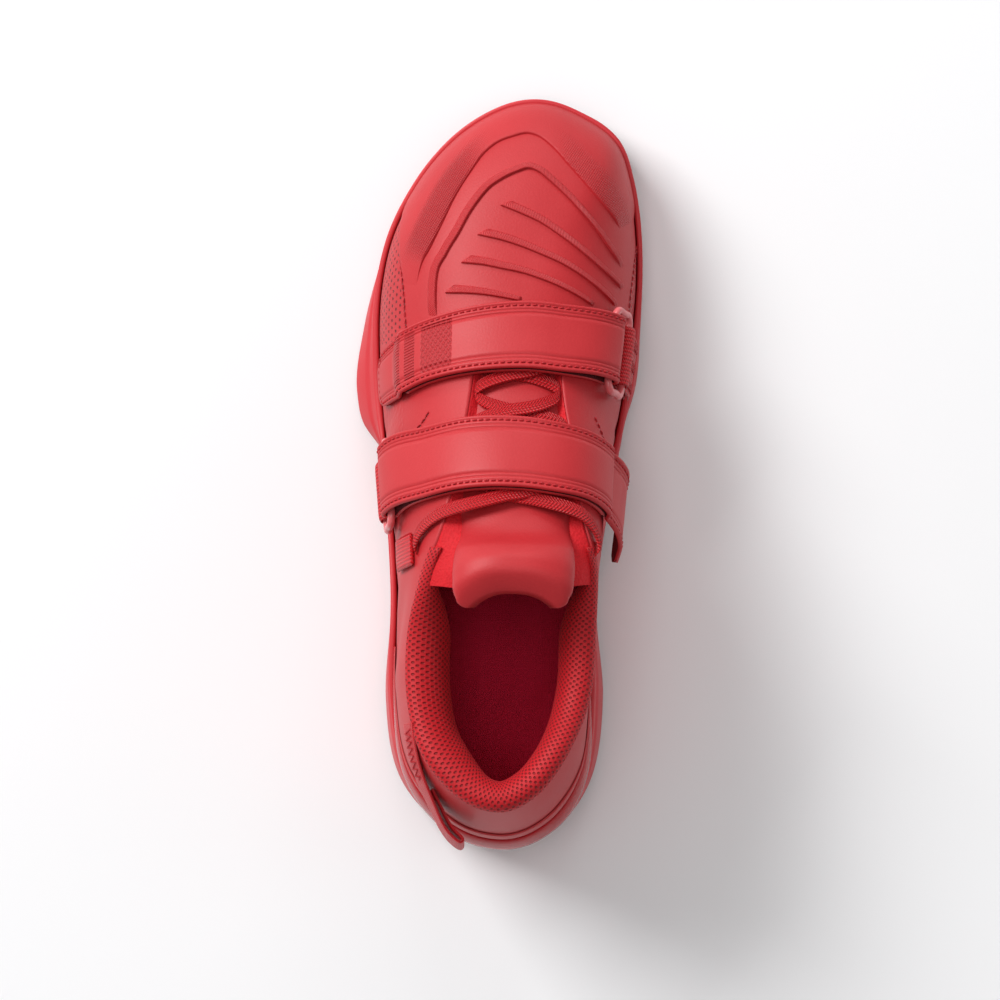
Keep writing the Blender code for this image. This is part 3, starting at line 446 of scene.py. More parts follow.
def sole_edge(u, side, inset):
    """The sole's outline, moved inwards by inset."""
    near = 0.004
    x, y = outline(SOLE, u, side, 0.0, SHOE_LENGTH)
    x1, y1 = outline(SOLE, np.minimum(u + near, 1.0), side, 0.0, SHOE_LENGTH)
    x0, y0 = outline(SOLE, np.maximum(u - near, 0.0), side, 0.0, SHOE_LENGTH)
    inward = np.stack([-(y1 - y0) * side, (x1 - x0) * side], axis=-1)
    inward = np.where((u <= 0.0)[..., None], [0.0, 1.0], inward)
    inward = np.where((u >= 1.0)[..., None], [0.0, -1.0], inward)
    inward = unit(inward)
    return np.stack([x, y], axis=-1) + inset[..., None] * inward, -inward


def ground(along):
    """Height of the outsole's underside: toe spring, a low arch, and a small roll at the heel."""
    arch = ARCH_RISE * ease(along, 0.34, 0.40) * (1 - ease(along, 0.48, 0.54))
    return spring(along) + arch + HEEL_ROLL * (1 - ease(along, 0.0, 0.06))


def cup_rise(along):
    """How far the cup's wall stands up from the bed."""
    return CUP_RISE_FRONT + (CUP_RISE_HEEL - CUP_RISE_FRONT) * (1 - ease(along, 0.2, 0.5))


def midsole_side(u, side):
    """Corners of one side's section, from the bottom edge up over the rim and down into the cup."""
    side = np.full(u.shape, side)
    lip = SOLE_LIP * ease(u, 0.88, 0.95)
    wide, outward = sole_edge(u, side, lip)
    edge, _ = sole_edge(u, side, lip + SIDE_FOOT_INSET)
    low = ground(share_of(wide[:, 1])) + OUTSOLE_THICKNESS + GAP
    along = share_of(feather(u, side)[1])
    rise = cup_rise(share_of(outline(SOLE, u, side, 0.0, SHOE_LENGTH)[1]))
    inner_top = off_last(u, turn_at_height(u, side, bed(along) + GAP + rise), CUP_ROOM)
    inner_foot = off_last(u, turn_at_height(u, side, bed(along) + GAP + 0.5 * MM), CUP_ROOM)
    inner_foot[:, 2] = bed(along)
    out = np.concatenate([outward, np.zeros((len(u), 1))], axis=1)
    rim = inner_top + out * CUP_WALL
    foot = np.concatenate([edge, low[:, None]], axis=1)
    belly = np.concatenate([wide, low[:, None] + SIDE_BELLY_RISE], axis=1)
    ledge = belly + (rim - belly) * SIDE_LEDGE
    under = belly + (rim - belly) * (SIDE_LEDGE + 0.05) - out * SIDE_STEP
    return [foot, belly, ledge, under, rim, inner_top, inner_foot]


stations = np.linspace(0.0, 1.0, 261)
lateral = midsole_side(stations, -1.0)
medial = midsole_side(stations, 1.0)
middle = [lateral[-1] * (1 - s) + medial[-1] * s for s in CROSS_ROWS]
under = [medial[0] * (1 - s) + lateral[0] * s for s in CROSS_ROWS]
corners = np.array(lateral + middle + medial[::-1] + under)
midsole = laid("midsole_shell", rounded(corners, MIDSOLE_ROUND, 3).transpose(1, 0, 2), wraps=True)
fitted(midsole, moulded_red(), "midsole", "midsole")


# Outsole: a sheet of rubber with square lugs, moulded and cemented under the midsole. Its dark red is painted
# shadow: its lip shows as a thin dark line round the toe, standing for the shade under the toe's edge.
LUG_DEPTH = 2.0 * MM
LUG_GROOVE = 3.0 * MM
CROSS_GROOVES = (0.10, 0.18, 0.26, 0.57, 0.64, 0.71, 0.78, 0.85, 0.92)
LONG_GROOVES = (0.335, 0.665)
SMOOTH_ARCH = (0.365, 0.515)
LONG_GROOVE_ENDS = (0.018, 0.965)


def outsole_rubber():
    material, place, _ = new_finish("outsole_rubber", 0.62)
    x, y, _ = place.parts()
    knurl = ((x + y) * 1000).waves(1.6) * ((x - y) * 1000).waves(1.6)
    wide = place.noise(60.0, 3.0)
    # dark red: painted shadow, so that the lip round the toe reads as the shade under the toe's edge
    colour = wide.shade((0.14, 0.003, 0.006), (0.24, 0.006, 0.011))
    return complete(material, colour, knurl + place.noise(1800.0) * 0.4, 0.00025)


def groove(distance, half):
    """Depth of a moulded groove with leaning walls, at a distance from its middle."""
    return 1 - ease(np.abs(distance), 0.75 * half, 1.3 * half)


round_ends = (1 - np.cos(np.linspace(0, math.pi, 90))) / 2
by_grooves = [np.linspace(place - 0.009, place + 0.009, 11) for place in CROSS_GROOVES]
u = end_angle(np.unique(np.concatenate([np.linspace(0.0, 1.0, 150), round_ends] + by_grooves)))
lip = SOLE_LIP * (1 - ease(u, 0.88, 0.95))
left, _ = sole_edge(u, np.full(u.shape, -1.0), lip)
right, _ = sole_edge(u, np.full(u.shape, 1.0), lip)
along = along_at(u)
by_grooves = [np.linspace(place - 0.035, place + 0.035, 9) for place in LONG_GROOVES]
over = np.unique(np.concatenate([np.linspace(0.0, 1.0, 17)] + by_grooves))
cuts = np.zeros((len(u), len(over)))
for place in CROSS_GROOVES:
    cuts = np.maximum(cuts, groove((along - place) * SHOE_LENGTH, LUG_GROOVE / 2)[:, None])
arch = (ease(along, SMOOTH_ARCH[0], SMOOTH_ARCH[0] + 0.007)
        * (1 - ease(along, SMOOTH_ARCH[1] - 0.007, SMOOTH_ARCH[1])))
cuts = np.maximum(cuts, arch[:, None])
ends = (ease(along, LONG_GROOVE_ENDS[0], LONG_GROOVE_ENDS[0] + 0.008)
        * (1 - ease(along, LONG_GROOVE_ENDS[1] - 0.010, LONG_GROOVE_ENDS[1])))
for place in LONG_GROOVES:
    cut = groove((over - place) * 0.9 * HALF_WIDTH * 2, LUG_GROOVE / 2)
    cuts = np.maximum(cuts, cut[None, :] * ends[:, None])
plan = left[:, None] + (right - left)[:, None] * over[None, :, None]
low = np.broadcast_to(ground(along)[:, None], cuts.shape)
bottom = np.concatenate([plan, (low + LUG_DEPTH * cuts)[..., None]], axis=-1)
top = np.concatenate([plan, (low + OUTSOLE_THICKNESS)[..., None]], axis=-1)[:, ::-1]
outsole = laid("outsole_rubber", np.concatenate([bottom, top], axis=1), wraps=True)
fitted(outsole, outsole_rubber(), "outsole", "outsole")


# Upper: one lasted shell of matt synthetic leather over a bright lining. Its edges are turned at the
# collar and along the throat, and the flexing of the foot has left soft hollows in its sides.
OPENING = Sections("along lateral medial", [
    (0.00, 0.53, 0.53),
    (0.10, 0.50, 0.48),
    (0.20, 0.44, 0.35),
    (0.29, 0.44, 0.34),
    (0.36, 0.54, 0.44),
    (0.42, 0.66, 0.60),
    (0.50, 0.74, 0.68),
    (0.60, 0.795, 0.765),
    (0.677, 0.82, 0.80),
    (0.80, 0.82, 0.82),
    (1.00, 0.82, 0.82),
])
UPPER_WALL = 2.2 * MM
TURN_LENGTH = 82 * MM
HOLE_PITCH = 2.9
LEATHER_DARK = (0.42, 0.014, 0.019)
LEATHER_LIGHT = (0.56, 0.028, 0.034)

# Soft hollows and swells left by wear: share of the length, turn, half length and half width in
# millimetres, slant in degrees from across the shoe, and depth in millimetres, negative for a swell
CREASES = [
    (0.300, -0.74, 26, 6, 62, 0.9),
    (0.345, -0.86, 22, 5, 50, 0.7),
    (0.235, -0.66, 18, 6, 20, -0.7),
    (0.420, -0.80, 15, 4, 35, 0.8),
    (0.560, -0.80, 14, 3, 25, 0.8),
    (0.535, -0.60, 14, 3, 30, 0.6),
    (0.640, -0.86, 12, 3, 10, 0.6),
    (0.250, 0.72, 26, 7, -60, 0.9),
    (0.330, 0.82, 18, 5, -45, 0.7),
    (0.470, 0.84, 14, 4, -30, 0.7),
    (0.560, 0.84, 14, 3, -15, 0.7),
]


def opening_turn(u, side):
    """Turn of the edge round the collar and the throat."""
    own = along_at(u)
    return side * (1 - np.where(side > 0, OPENING.at("medial", own), OPENING.at("lateral", own)))


def station_at(y, turn):
    """Parameter u at which the upper's face, at a turn, is as far along as y."""
    y, turn = np.broadcast_arrays(np.asarray(y, float), np.asarray(turn, float))
    return halve(np.zeros(y.shape), np.ones(y.shape), lambda u: last_point(u, turn)[..., 1] >= y)


def distances(path):
    """Length along a path at each of its points."""
    return np.concatenate([[0.0], np.linalg.norm(np.diff(path, axis=0), axis=1).cumsum()])


def smooth_line(points, count):
    """Evenly spaced places on a smooth curve through points."""
    points = np.array(points, float)
    keys = distances(points)
    table = Sections("key x y", [(k / keys[-1], *p) for k, p in zip(keys, points)])
    at = np.linspace(0.0, 1.0, count)
    return np.stack([table.at("x", at), table.at("y", at)], axis=-1)


def on_upper(line, count):
    """A line given by shares of the length and turns, as stations and turns of the upper's face."""
    places = smooth_line(line, count)
    return station_at(y_of(places[:, 0]), places[:, 1]), places[:, 1]


def hollows(u, turn):
    """Depth of the soft creases at places on the upper."""
    point = last_point(u, turn)
    depth = np.zeros(u.shape)
    for along, centre_turn, half_length, half_width, slant, deep in CREASES:
        centre = last_point(np.array(end_angle(along)), np.array(centre_turn))
        arc = TURN_LENGTH * (turn - centre_turn)
        run = point[..., 1] - centre[1]
        c = math.cos(math.radians(slant))
        s = math.sin(math.radians(slant))
        lengthways = arc * c + run * s
        sideways = run * c - arc * s
        far = (lengthways / (half_length * MM)) ** 2 + (sideways / (half_width * MM)) ** 2
        depth += deep * MM * np.exp(-far)
    return depth


def grain(place):
    """The leather's pebble grain, and its slight unevenness in colour."""
    return place.cells(1500.0, "SMOOTH_F1"), place.noise(26.0, 4.0, 0.6)


def leather(name):
    """Matt synthetic leather: fine pebble grain, slight unevenness in colour and in gloss."""
    material, place, _ = new_finish(name, 0.5)
    pebble, cloud = grain(place)
    fine = place.noise(3800.0, 2.0)
    colour = (cloud * 0.9 + pebble * 0.25 - 0.08).shade(LEATHER_DARK, LEATHER_LIGHT)
    return complete(material, colour, pebble * 0.7 + fine * 0.3, 0.00007, cloud * 0.14 + 0.42)


def panelled_leather(name):
    """The same leather, punched with small holes in its side panels, coarse behind them on the outer side
    and grooved at its seams."""
    material, place, _ = new_finish(name, 0.5)
    pebble, cloud = grain(place)
    fine = place.noise(3800.0, 2.0)
    coarse = place.cells(520.0, "SMOOTH_F1")
    run = place.mark("run")
    arc = place.mark("arc")
    punched = place.mark("punched").ramp(1.2, 1.8)
    grainy = place.mark("grainy").ramp(0.2, 1.6)
    seam = 1 - place.mark("seam").ramp(0.25, 0.75)
    row = arc * (1 / HOLE_PITCH)
    shifted = run * (1 / HOLE_PITCH) + row.math("FLOOR", row, 0.0) * 0.5
    off_run = shifted.math("FRACT", shifted, 0.0) - 0.5
    off_row = row.math("FRACT", row, 0.0) - 0.5
    squares = off_run * off_run + off_row * off_row
    away = squares.math("SQRT", squares, 0.0)
    hole = (1 - away.ramp(0.15, 0.22)) * punched
    dark = hole.math("MAXIMUM", hole * 0.92, seam * 0.75)
    base = (cloud * 0.75 + pebble * 0.25).shade(LEATHER_DARK, LEATHER_LIGHT)
    colour = dark.add("ShaderNodeMix", {"data_type": "RGBA"},
                      {0: dark, 6: base, 7: (0.10, 0.001, 0.003, 1)}, 2)
    relief = (pebble * 0.07 + fine * 0.03) * (1 - grainy) + coarse * 0.30 * grainy - hole * 1.0 - seam * 0.8
    return complete(material, colour, relief, 0.0008, cloud * 0.14 + 0.42)


def bright_lining(name):
    material, place, _ = new_finish(name, 0.7, sheen=0.3)
    knit = place.cells(1100.0)
    cloud = place.noise(40.0, 3.0)
    colour = (cloud * 0.6 + knit * 0.4).shade((0.50, 0.003, 0.008), (0.74, 0.008, 0.018))
    return complete(material, colour, knit, 0.0002)


def circle(count):
    """Evenly spaced angles, once round."""
    return np.linspace(0.0, 2 * math.pi, count + 1)[:-1]


def ended(rows, size=0.0):
    """Rows of a closed section with one more at each end, shrunk about its middle to a size."""
    ends = [rows[k].mean(axis=0) + (rows[k] - rows[k].mean(axis=0)) * size for k in (0, -1)]
    return np.concatenate([[ends[0]], rows, [ends[1]]])


# One stitch of a thread: share of the stitch's length, and height over the leather in thread radii
STITCH = np.array([(0.0, -0.9), (0.10, 0.35), (0.24, 0.85), (0.40, 0.95), (0.56, 0.85), (0.68, 0.35),
                   (0.78, -0.9), (0.90, -1.6)])


def thread(name, path, outward, slot, pitch=2.8, radius=0.36):
    """A row of stitches: one thread that runs over the leather and dips through it, pitch and radius in
    millimetres, along a path with its outward directions."""
    lengths = distances(path)
    stitches = max(2, int(lengths[-1] / (pitch * MM)))
    at = ((np.arange(stitches)[:, None] + STITCH[:, 0]).ravel()) / stitches * lengths[-1]
    height = np.tile(STITCH[:, 1], stitches)
    centre, out = [np.stack([np.interp(at, lengths, line[:, k]) for k in range(3)], axis=1)
                   for line in (path, outward)]
    out = unit(out)
    side = unit(np.cross(unit(np.gradient(centre, axis=0)), out))
    around = circle(6)
    middle = centre + out * (height * radius * MM)[:, None]
    loops = (middle[:, None] + radius * MM * (np.cos(around)[None, :, None] * side[:, None] * 1.1
                                             + np.sin(around)[None, :, None] * out[:, None] * 0.8))
    fitted(laid(name, ended(loops), wraps=True), thread_finish, slot)


def sewing_thread():
    material, _, uv = new_finish("sewing_thread", 0.45)
    run, around, _ = uv.parts()
    twist = (run + around * 0.7).waves(0.5)
    return complete(material, twist.shade((0.34, 0.004, 0.008), (0.60, 0.020, 0.030)), twist, 0.0001)


thread_finish = sewing_thread()
LATERAL_SEAM = [(0.862, -0.930), (0.834, -0.772), (0.802, -0.669), (0.768, -0.607), (0.728, -0.565),
                (0.688, -0.545), (0.640, -0.535)]
MEDIAL_SEAM = [(0.805, 0.930), (0.771, 0.806), (0.730, 0.752), (0.690, 0.757), (0.640, 0.790)]
LATERAL_WAIST_SEAM = [(0.520, -0.60), (0.543, -0.541), (0.556, -0.489), (0.569, -0.438), (0.582, -0.400)]
MEDIAL_WAIST_SEAM = [(0.500, 0.72), (0.530, 0.62), (0.556, 0.53), (0.575, 0.46)]
PANEL_BACK = 0.668
PANEL_FRONTS = {"lateral": 0.845, "medial": 0.800}
COARSE_TURN = -0.56
COARSE_ENDS = (0.548, 0.664)
WALL_ROWS = 60
COVER_ROWS = 28
SEAMS = (LATERAL_SEAM, MEDIAL_SEAM, LATERAL_WAIST_SEAM, MEDIAL_WAIST_SEAM)


def seam_turn(line, along):
    """Turn of a seam at shares of the length."""
    places = smooth_line(line, 60)
    order = np.argsort(places[:, 0])
    return np.interp(along, places[order, 0], places[order, 1])


throat = float(end_angle((THROAT_FRONT - UPPER_SET_BACK)
                         / (SHOE_LENGTH - UPPER_SET_BACK - UPPER_SET_TOE)))
behind = np.linspace(0.0, throat, 121)
stations = np.concatenate([behind, np.linspace(throat, 1.0, 86)[1:]])
left = opening_turn(stations, np.full(stations.shape, -1.0))[:, None]
right = opening_turn(stations, np.full(stations.shape, 1.0))[:, None]
walls = np.linspace(0.0, 1.0, WALL_ROWS + 1)[None, :]
covers = np.linspace(0.0, 1.0, COVER_ROWS + 1)[None, 1:-1]
turns = np.concatenate([-1 + (left + 1) * walls, left + (right - left) * covers,
                        right + (1 - right) * walls], axis=1)
grid_u = np.broadcast_to(stations[:, None], turns.shape)
skin = off_last(grid_u, turns, -hollows(grid_u, turns))
along = share_of(skin[..., 1])
below_lateral = (seam_turn(LATERAL_SEAM, along) - turns) * TURN_LENGTH / MM
below_medial = (turns - seam_turn(MEDIAL_SEAM, along)) * TURN_LENGTH / MM
ahead, ahead_medial = [np.minimum(along - PANEL_BACK, PANEL_FRONTS[word] - along) * SHOE_LENGTH / MM
                       for word in ("lateral", "medial")]
punched = np.maximum(np.minimum(below_lateral, ahead), np.minimum(below_medial, ahead_medial))
grainy = np.minimum((COARSE_TURN - turns) * TURN_LENGTH / MM,
                    np.minimum(along - COARSE_ENDS[0], COARSE_ENDS[1] - along) * SHOE_LENGTH / MM)
near_seam = np.full(turns.shape, 99.0)
for line in SEAMS:
    for point in last_point(*on_upper(line, 160)):
        near_seam = np.minimum(near_seam, np.linalg.norm(skin - point, axis=-1) / MM)
marks = {"punched": punched, "grainy": grainy, "seam": near_seam, "run": skin[..., 1] / MM,
         "arc": (1 - np.abs(turns)) * TURN_LENGTH / MM}
upper = laid("upper_shell", skin, flip=True, marks=marks)
bpy.ops.object.mode_set(mode="EDIT")
bpy.ops.mesh.select_mode(type="FACE")
bpy.ops.mesh.select_all(action="DESELECT")
bpy.ops.object.mode_set(mode="OBJECT")
rows = len(stations) - 1
for face in upper.data.polygons:
    column, row = divmod(face.index, rows)
    face.select = WALL_ROWS <= column < WALL_ROWS + COVER_ROWS and row < len(behind) - 1
bpy.ops.object.mode_set(mode="EDIT")
bpy.ops.mesh.delete(type="FACE")
bpy.ops.object.mode_set(mode="OBJECT")
wall = upper.modifiers.new("wall", "SOLIDIFY")
wall.thickness = UPPER_WALL
wall.offset = -1
wall.use_even_offset = True
wall.material_offset = 1
wall.material_offset_rim = 1
bpy.ops.object.modifier_apply(modifier="wall")
fitted(upper, panelled_leather("upper_leather"), "upper", "upper")
upper.data.materials.append(bright_lining("upper_lining"))
for number, line in enumerate(SEAMS, 1):
    seam_u, seam_side = on_upper(line, 80)
    sewn = off_last(seam_u, seam_side, 0.0)
    thread("seam_stitches_%d" % number, sewn, off_last(seam_u, seam_side, 1.0) - sewn, "upper")


# Toe cap: a second layer of the same leather, pressed on over the toe under heat. Its back edge is a
# sharp step that dies out at the outer wing, and its wings carry a fine knurl.
def surface_at(plan_x, plan_y):
    """Parameters of the upper's face over places in plan, in metres."""
    ahead = np.full(plan_x.shape, 0.98)
    apex = halve(np.zeros(plan_x.shape), ahead, lambda t: last_point(1.0, t)[..., 1] >= plan_y)
    side = np.where(plan_x < last_point(station_at(plan_y, apex), apex)[..., 0], -1.0, 1.0)
    reach = halve(apex, ahead, lambda r: side * (last_point(station_at(plan_y, side * r), side * r)[..., 0]
                                                 - plan_x) >= 0)
    return station_at(plan_y, side * reach), side * reach


CAP_EDGE = [
    (-0.560, 0.720),
    (-0.535, 0.750),
    (-0.497, 0.776),
    (-0.442, 0.795),
    (-0.362, 0.826),
    (-0.269, 0.864),
    (-0.162, 0.898),
    (-0.083, 0.920),
    (-0.002, 0.934),
    (0.121, 0.944),
    (0.230, 0.948),
    (0.306, 0.943),
    (0.395, 0.929),
    (0.506, 0.905),
    (0.615, 0.881),
    (0.724, 0.857),
    (0.818, 0.835),
    (0.885, 0.815),
]
CAP_STEP = 1.1 * MM
CAP_HALF_ROWS = 110
# The cap's section from its edge: share of the way to the rim, and height as a share of the step. Its last
# three heights hold where it stops at a seam instead of running under the rim.
CAP_SECTION = np.array([
    (0.0, -0.25), (0.003, 0.35), (0.008, 0.75), (0.016, 0.92), (0.03, 0.98), (0.05, 1), (0.08, 1),
    (0.12, 1), (0.17, 1), (0.23, 1), (0.3, 1), (0.37, 1), (0.44, 1), (0.5, 1), (0.56, 1), (0.62, 1),
    (0.68, 1), (0.74, 1), (0.8, 1), (0.86, 1), (0.92, 1), (0.96, 1), (1.0, 1),
])
CAP_AT_SEAM = (0.95, 0.6, -0.25)
CAP_SEAM_ROOM = 0.014


def cap_leather():
    material, place, _ = new_finish("toe_cap_leather", 0.5)
    x, y, _ = place.parts()
    lines = ((x - y * 0.6) * 1000).waves(0.95)
    cross = ((x * 0.7 + y) * 1000).waves(0.95)
    knurl = place.mark("knurl").ramp(0.05, 0.9)
    pebble, cloud = grain(place)
    cut = lines.math("MULTIPLY", lines, cross)
    tone = cloud * 0.75 + pebble * 0.25 - (1 - cut) * knurl * 0.5
    relief = pebble * 0.08 * (1 - knurl) + cut * 0.6 * knurl
    return complete(material, tone.shade(LEATHER_DARK, LEATHER_LIGHT), relief, 0.0008, cloud * 0.14 + 0.42)


edge = smooth_line(CAP_EDGE, 400)
edge_u, edge_turn = surface_at(edge[:, 0] * HALF_WIDTH, y_of(edge[:, 1]))
signed = np.where(edge_turn > 0, 1 - edge_u, edge_u - 1)
order = np.argsort(signed)
level = np.concatenate([np.linspace(signed[order[0]], 0.0, CAP_HALF_ROWS),
                        np.linspace(0.0, signed[order[-1]], CAP_HALF_ROWS + 1)[1:]])
edge_height = np.interp(level, signed[order], np.abs(edge_turn)[order])
side = np.where(level > 0, 1.0, -1.0)
cap_u = 1 - np.abs(level)
rim_along = share_of(feather(cap_u, side)[1])
rim_height = bed(rim_along) + 2 * GAP + cup_rise(rim_along) - 1.5 * MM
rim_turn = np.abs(turn_at_height(cap_u, side, rim_height))
at_seam = rim_along < np.where(side < 0, LATERAL_SEAM[0][0], MEDIAL_SEAM[0][0])
seam = np.where(side < 0, seam_turn(LATERAL_SEAM, rim_along), seam_turn(MEDIAL_SEAM, rim_along))
rim_turn = np.where(at_seam, np.minimum(rim_turn, np.abs(seam) - CAP_SEAM_ROOM), rim_turn)
row = np.arange(len(level))
rise = CAP_SECTION[None, :, 1] * np.ones((len(level), 1))
rise[at_seam, -3:] = CAP_AT_SEAM
ends = ease(row, 2, 22) * (1 - ease(row, 205, 219))
lift = (rise * ends[:, None] - 0.25 * (1 - ends[:, None])) * CAP_STEP
turn = side[:, None] * (edge_height[:, None] + (rim_turn - edge_height)[:, None] * CAP_SECTION[:, 0])
cap_points = off_last(cap_u[:, None] + np.zeros(turn.shape), turn, lift)
away = np.linalg.norm(cap_points - cap_points[:, :1], axis=-1) / MM
lateral_wing = (1 - ease(level, -0.20, -0.04)) * ease(row, 8, 30)
medial_wing = 0.45 * ease(level, 0.02, 0.10)
knurl = (lateral_wing + medial_wing)[:, None] * ease(away, 0.3, 1.5) * (1 - ease(away, 9.0, 17.0))
toe_cap = laid("toe_cap", cap_points, marks={"knurl": knurl})
fitted(toe_cap, cap_leather(), "upper")


# Ribs: narrow strips of the same layer, pressed up from the vamp with a knurled face. The chevron runs
# round the vamp, and four more slant across it, blunt at the outer end and thin at the inner.
CHEVRON = [
    (-0.417, 0.703),
    (-0.423, 0.727),
    (-0.420, 0.753),
    (-0.344, 0.791),
    (-0.263, 0.817),
    (-0.196, 0.841),
    (-0.130, 0.860),
    (-0.056, 0.877),
    (0.032, 0.889),
    (0.140, 0.899),
    (0.235, 0.904),
    (0.310, 0.899),
    (0.399, 0.885),
    (0.508, 0.865),
    (0.617, 0.842),
    (0.725, 0.817),
    (0.805, 0.795),
    (0.872, 0.776),
    (0.899, 0.766),
]
SLANTING_RIBS = [
    [(0.079, 0.854), (0.199, 0.844), (0.335, 0.831), (0.470, 0.813), (0.605, 0.793), (0.739, 0.771),
     (0.846, 0.752), (0.892, 0.742)],
    [(-0.078, 0.816), (0.065, 0.809), (0.201, 0.800), (0.336, 0.789), (0.471, 0.777), (0.606, 0.761),
     (0.739, 0.741), (0.853, 0.719)],
    [(-0.191, 0.780), (-0.068, 0.777), (0.068, 0.771), (0.203, 0.765), (0.338, 0.756), (0.472, 0.745),
     (0.606, 0.731), (0.700, 0.719)],
    [(-0.298, 0.741), (-0.202, 0.740), (-0.065, 0.737), (0.070, 0.732), (0.205, 0.726)],
]
RIB_WIDTH = 3.6 * MM
RIB_HEIGHT = 1.3 * MM
RIB_ROWS = 90
# A rib's section: place across as a share of its width, and height as a share of its full height
RIB_SECTION = np.array([
    (-0.5, -0.25), (-0.485, 0.5), (-0.46, 0.86), (-0.42, 1.0), (-0.34, 1.0), (-0.2, 0.97), (0.0, 0.93),
    (0.2, 0.88), (0.32, 0.78), (0.42, 0.5), (0.47, 0.2), (0.5, -0.25),
])


def knurled_leather():
    material, place, uv = new_finish("rib_leather", 0.5)
    run, width, _ = uv.parts()
    lines = (run + width * 0.8).waves(0.75)
    cloud = place.noise(26.0, 4.0, 0.6)
    # The knurl's lines are the leather's own pattern. The whole rib is painted lighter than the same leather
    # elsewhere, a painted highlight on the raised ribs.
    colour = (cloud * 0.6 + lines * 0.5 + 0.1).shade(LEATHER_DARK, LEATHER_LIGHT)
    return complete(material, colour, lines, 0.00018, cloud * 0.14 + 0.40)


def pressed_rib(name, path, finish, slant=0.0):
    """A strip laid over the vamp along a path in plan: shares of the half width and of the length. slant
    cuts its outer end askew."""
    plan = smooth_line(path, RIB_ROWS) * [HALF_WIDTH, SHOE_LENGTH] - [0.0, SHOE_LENGTH / 2]
    run = unit(np.gradient(plan, axis=0))
    share = np.linspace(0.0, 1.0, RIB_ROWS)
    taper = 1.0 - 0.45 * share
    ends = ease(share, 0.0, 0.012) * ease(1 - share, 0.0, 0.05)
    across = RIB_SECTION[None, :, 0] * (RIB_WIDTH * taper)[:, None]
    lengthways = slant * across * (1 - ease(share, 0.0, 0.08))[:, None]
    x = plan[:, :1] - run[:, 1:] * across + run[:, :1] * lengthways
    y = plan[:, 1:] + run[:, :1] * across + run[:, 1:] * lengthways
    u, turn = surface_at(x, y)
    lift = RIB_HEIGHT * (RIB_SECTION[None, :, 1] * ends[:, None] - 0.25 * (1 - ends[:, None]))
    fitted(laid(name, off_last(u, turn, lift)), finish, "upper")


rib_leather = knurled_leather()
pressed_rib("chevron_rib", CHEVRON, rib_leather)
for number, path in enumerate(SLANTING_RIBS, 1):
    pressed_rib("slanting_rib_%d" % number, path, rib_leather, slant=1.1)


# Insole: a moulded foam sock liner, dished at its heel, under a dark crimson knit that is glued on before
# it is cut to shape. It lies loose on the midsole's bed.
INSOLE_THICKNESS = 3.2 * MM
INSOLE_DISH = 1.6 * MM
INSOLE_ROUND = 1.2 * MM


def knit_liner():
    material, place, _ = new_finish("insole_knit", 0.85, sheen=0.4)
    x, y, _ = place.parts()
    ribs = (x * 1000).waves(0.9) * (y * 1000).waves(0.7)
    cloud = place.noise(30.0, 3.0)
    colour = (cloud * 0.6 + ribs * 0.4).shade((0.44, 0.002, 0.026), (0.62, 0.005, 0.045))
    return complete(material, colour, ribs, 0.0002)


u = np.linspace(0.02, 0.978, 120)[:, None]
edges = []
for sign in (-1.0, 1.0):
    side = np.full(u.shape, sign)
    x, y = feather(u, side)
    x1, y1 = feather(u + 0.004, side)
    x0, y0 = feather(u - 0.004, side)
    inward = np.stack([-(y1 - y0) * sign, (x1 - x0) * sign], axis=-1)
    edges.append(np.stack([x, y], axis=-1) + (UPPER_WALL + 2 * GAP) * unit(inward))
along = share_of((edges[0][..., 1] + edges[1][..., 1]) / 2)
low = bed(along) + GAP
over = np.linspace(0.0, 1.0, 41)[None, :]
top_plan = edges[0] + (edges[1] - edges[0]) * over[..., None]
rim = np.abs(2 * over - 1)
dish = INSOLE_DISH * ease(rim, 0.75, 1.0) * (1 - ease(along, 0.45, 0.6)) + INSOLE_THICKNESS
edge_round = INSOLE_ROUND * np.clip((rim - 0.97) / 0.03, 0, 1) ** 2
top = np.concatenate([top_plan, (low + dish - edge_round)[..., None]], axis=-1)
bottom = np.concatenate([top_plan[:, ::-1], np.broadcast_to(low, top.shape[:2])[..., None]], axis=-1)
loops = np.concatenate([top, bottom], axis=1)
flat_ends = loops[[0, -1]]
flat_ends[..., 2] = flat_ends[..., 2].min(axis=1, keepdims=True)
insole = laid("insole_liner", np.concatenate([flat_ends[:1], loops, flat_ends[1:]]), wraps=True)
fitted(insole, knit_liner(), "insole", "insole")


# Collar padding: foam under bright red spacer mesh, rolled over the collar's edge and sewn down inside. It is
# fullest beside the ankle on the outer side, and runs out to nothing at the top eyelets.
COLLAR_PAD = 11.5 * MM
COLLAR_PAD_LATERAL = 4.5 * MM
COLLAR_PAD_DEPTH = 34 * MM
COLLAR_ROWS = 110
# The roll's section: distance down from the edge as a share of the depth, and inwards as a share of the
# pad's full thickness
COLLAR_SECTION = np.array([
    (0.07, -0.05),
    (0.02, -0.07),
    (-0.04, -0.02),
    (-0.09, 0.12),
    (-0.11, 0.34),
    (-0.09, 0.60),
    (-0.02, 0.86),
    (0.10, 1.06),
    (0.25, 1.16),
    (0.42, 1.13),
    (0.60, 0.98),
    (0.78, 0.70),
    (0.92, 0.40),
    (1.00, 0.24),
    (0.80, 0.22),
    (0.50, 0.22),
    (0.20, 0.20),
    (0.08, 0.08),
])
# The mesh's shares of a round of the section that are sewn down: the first, and from the second on
COLLAR_SEWN = (0.10, 0.66)


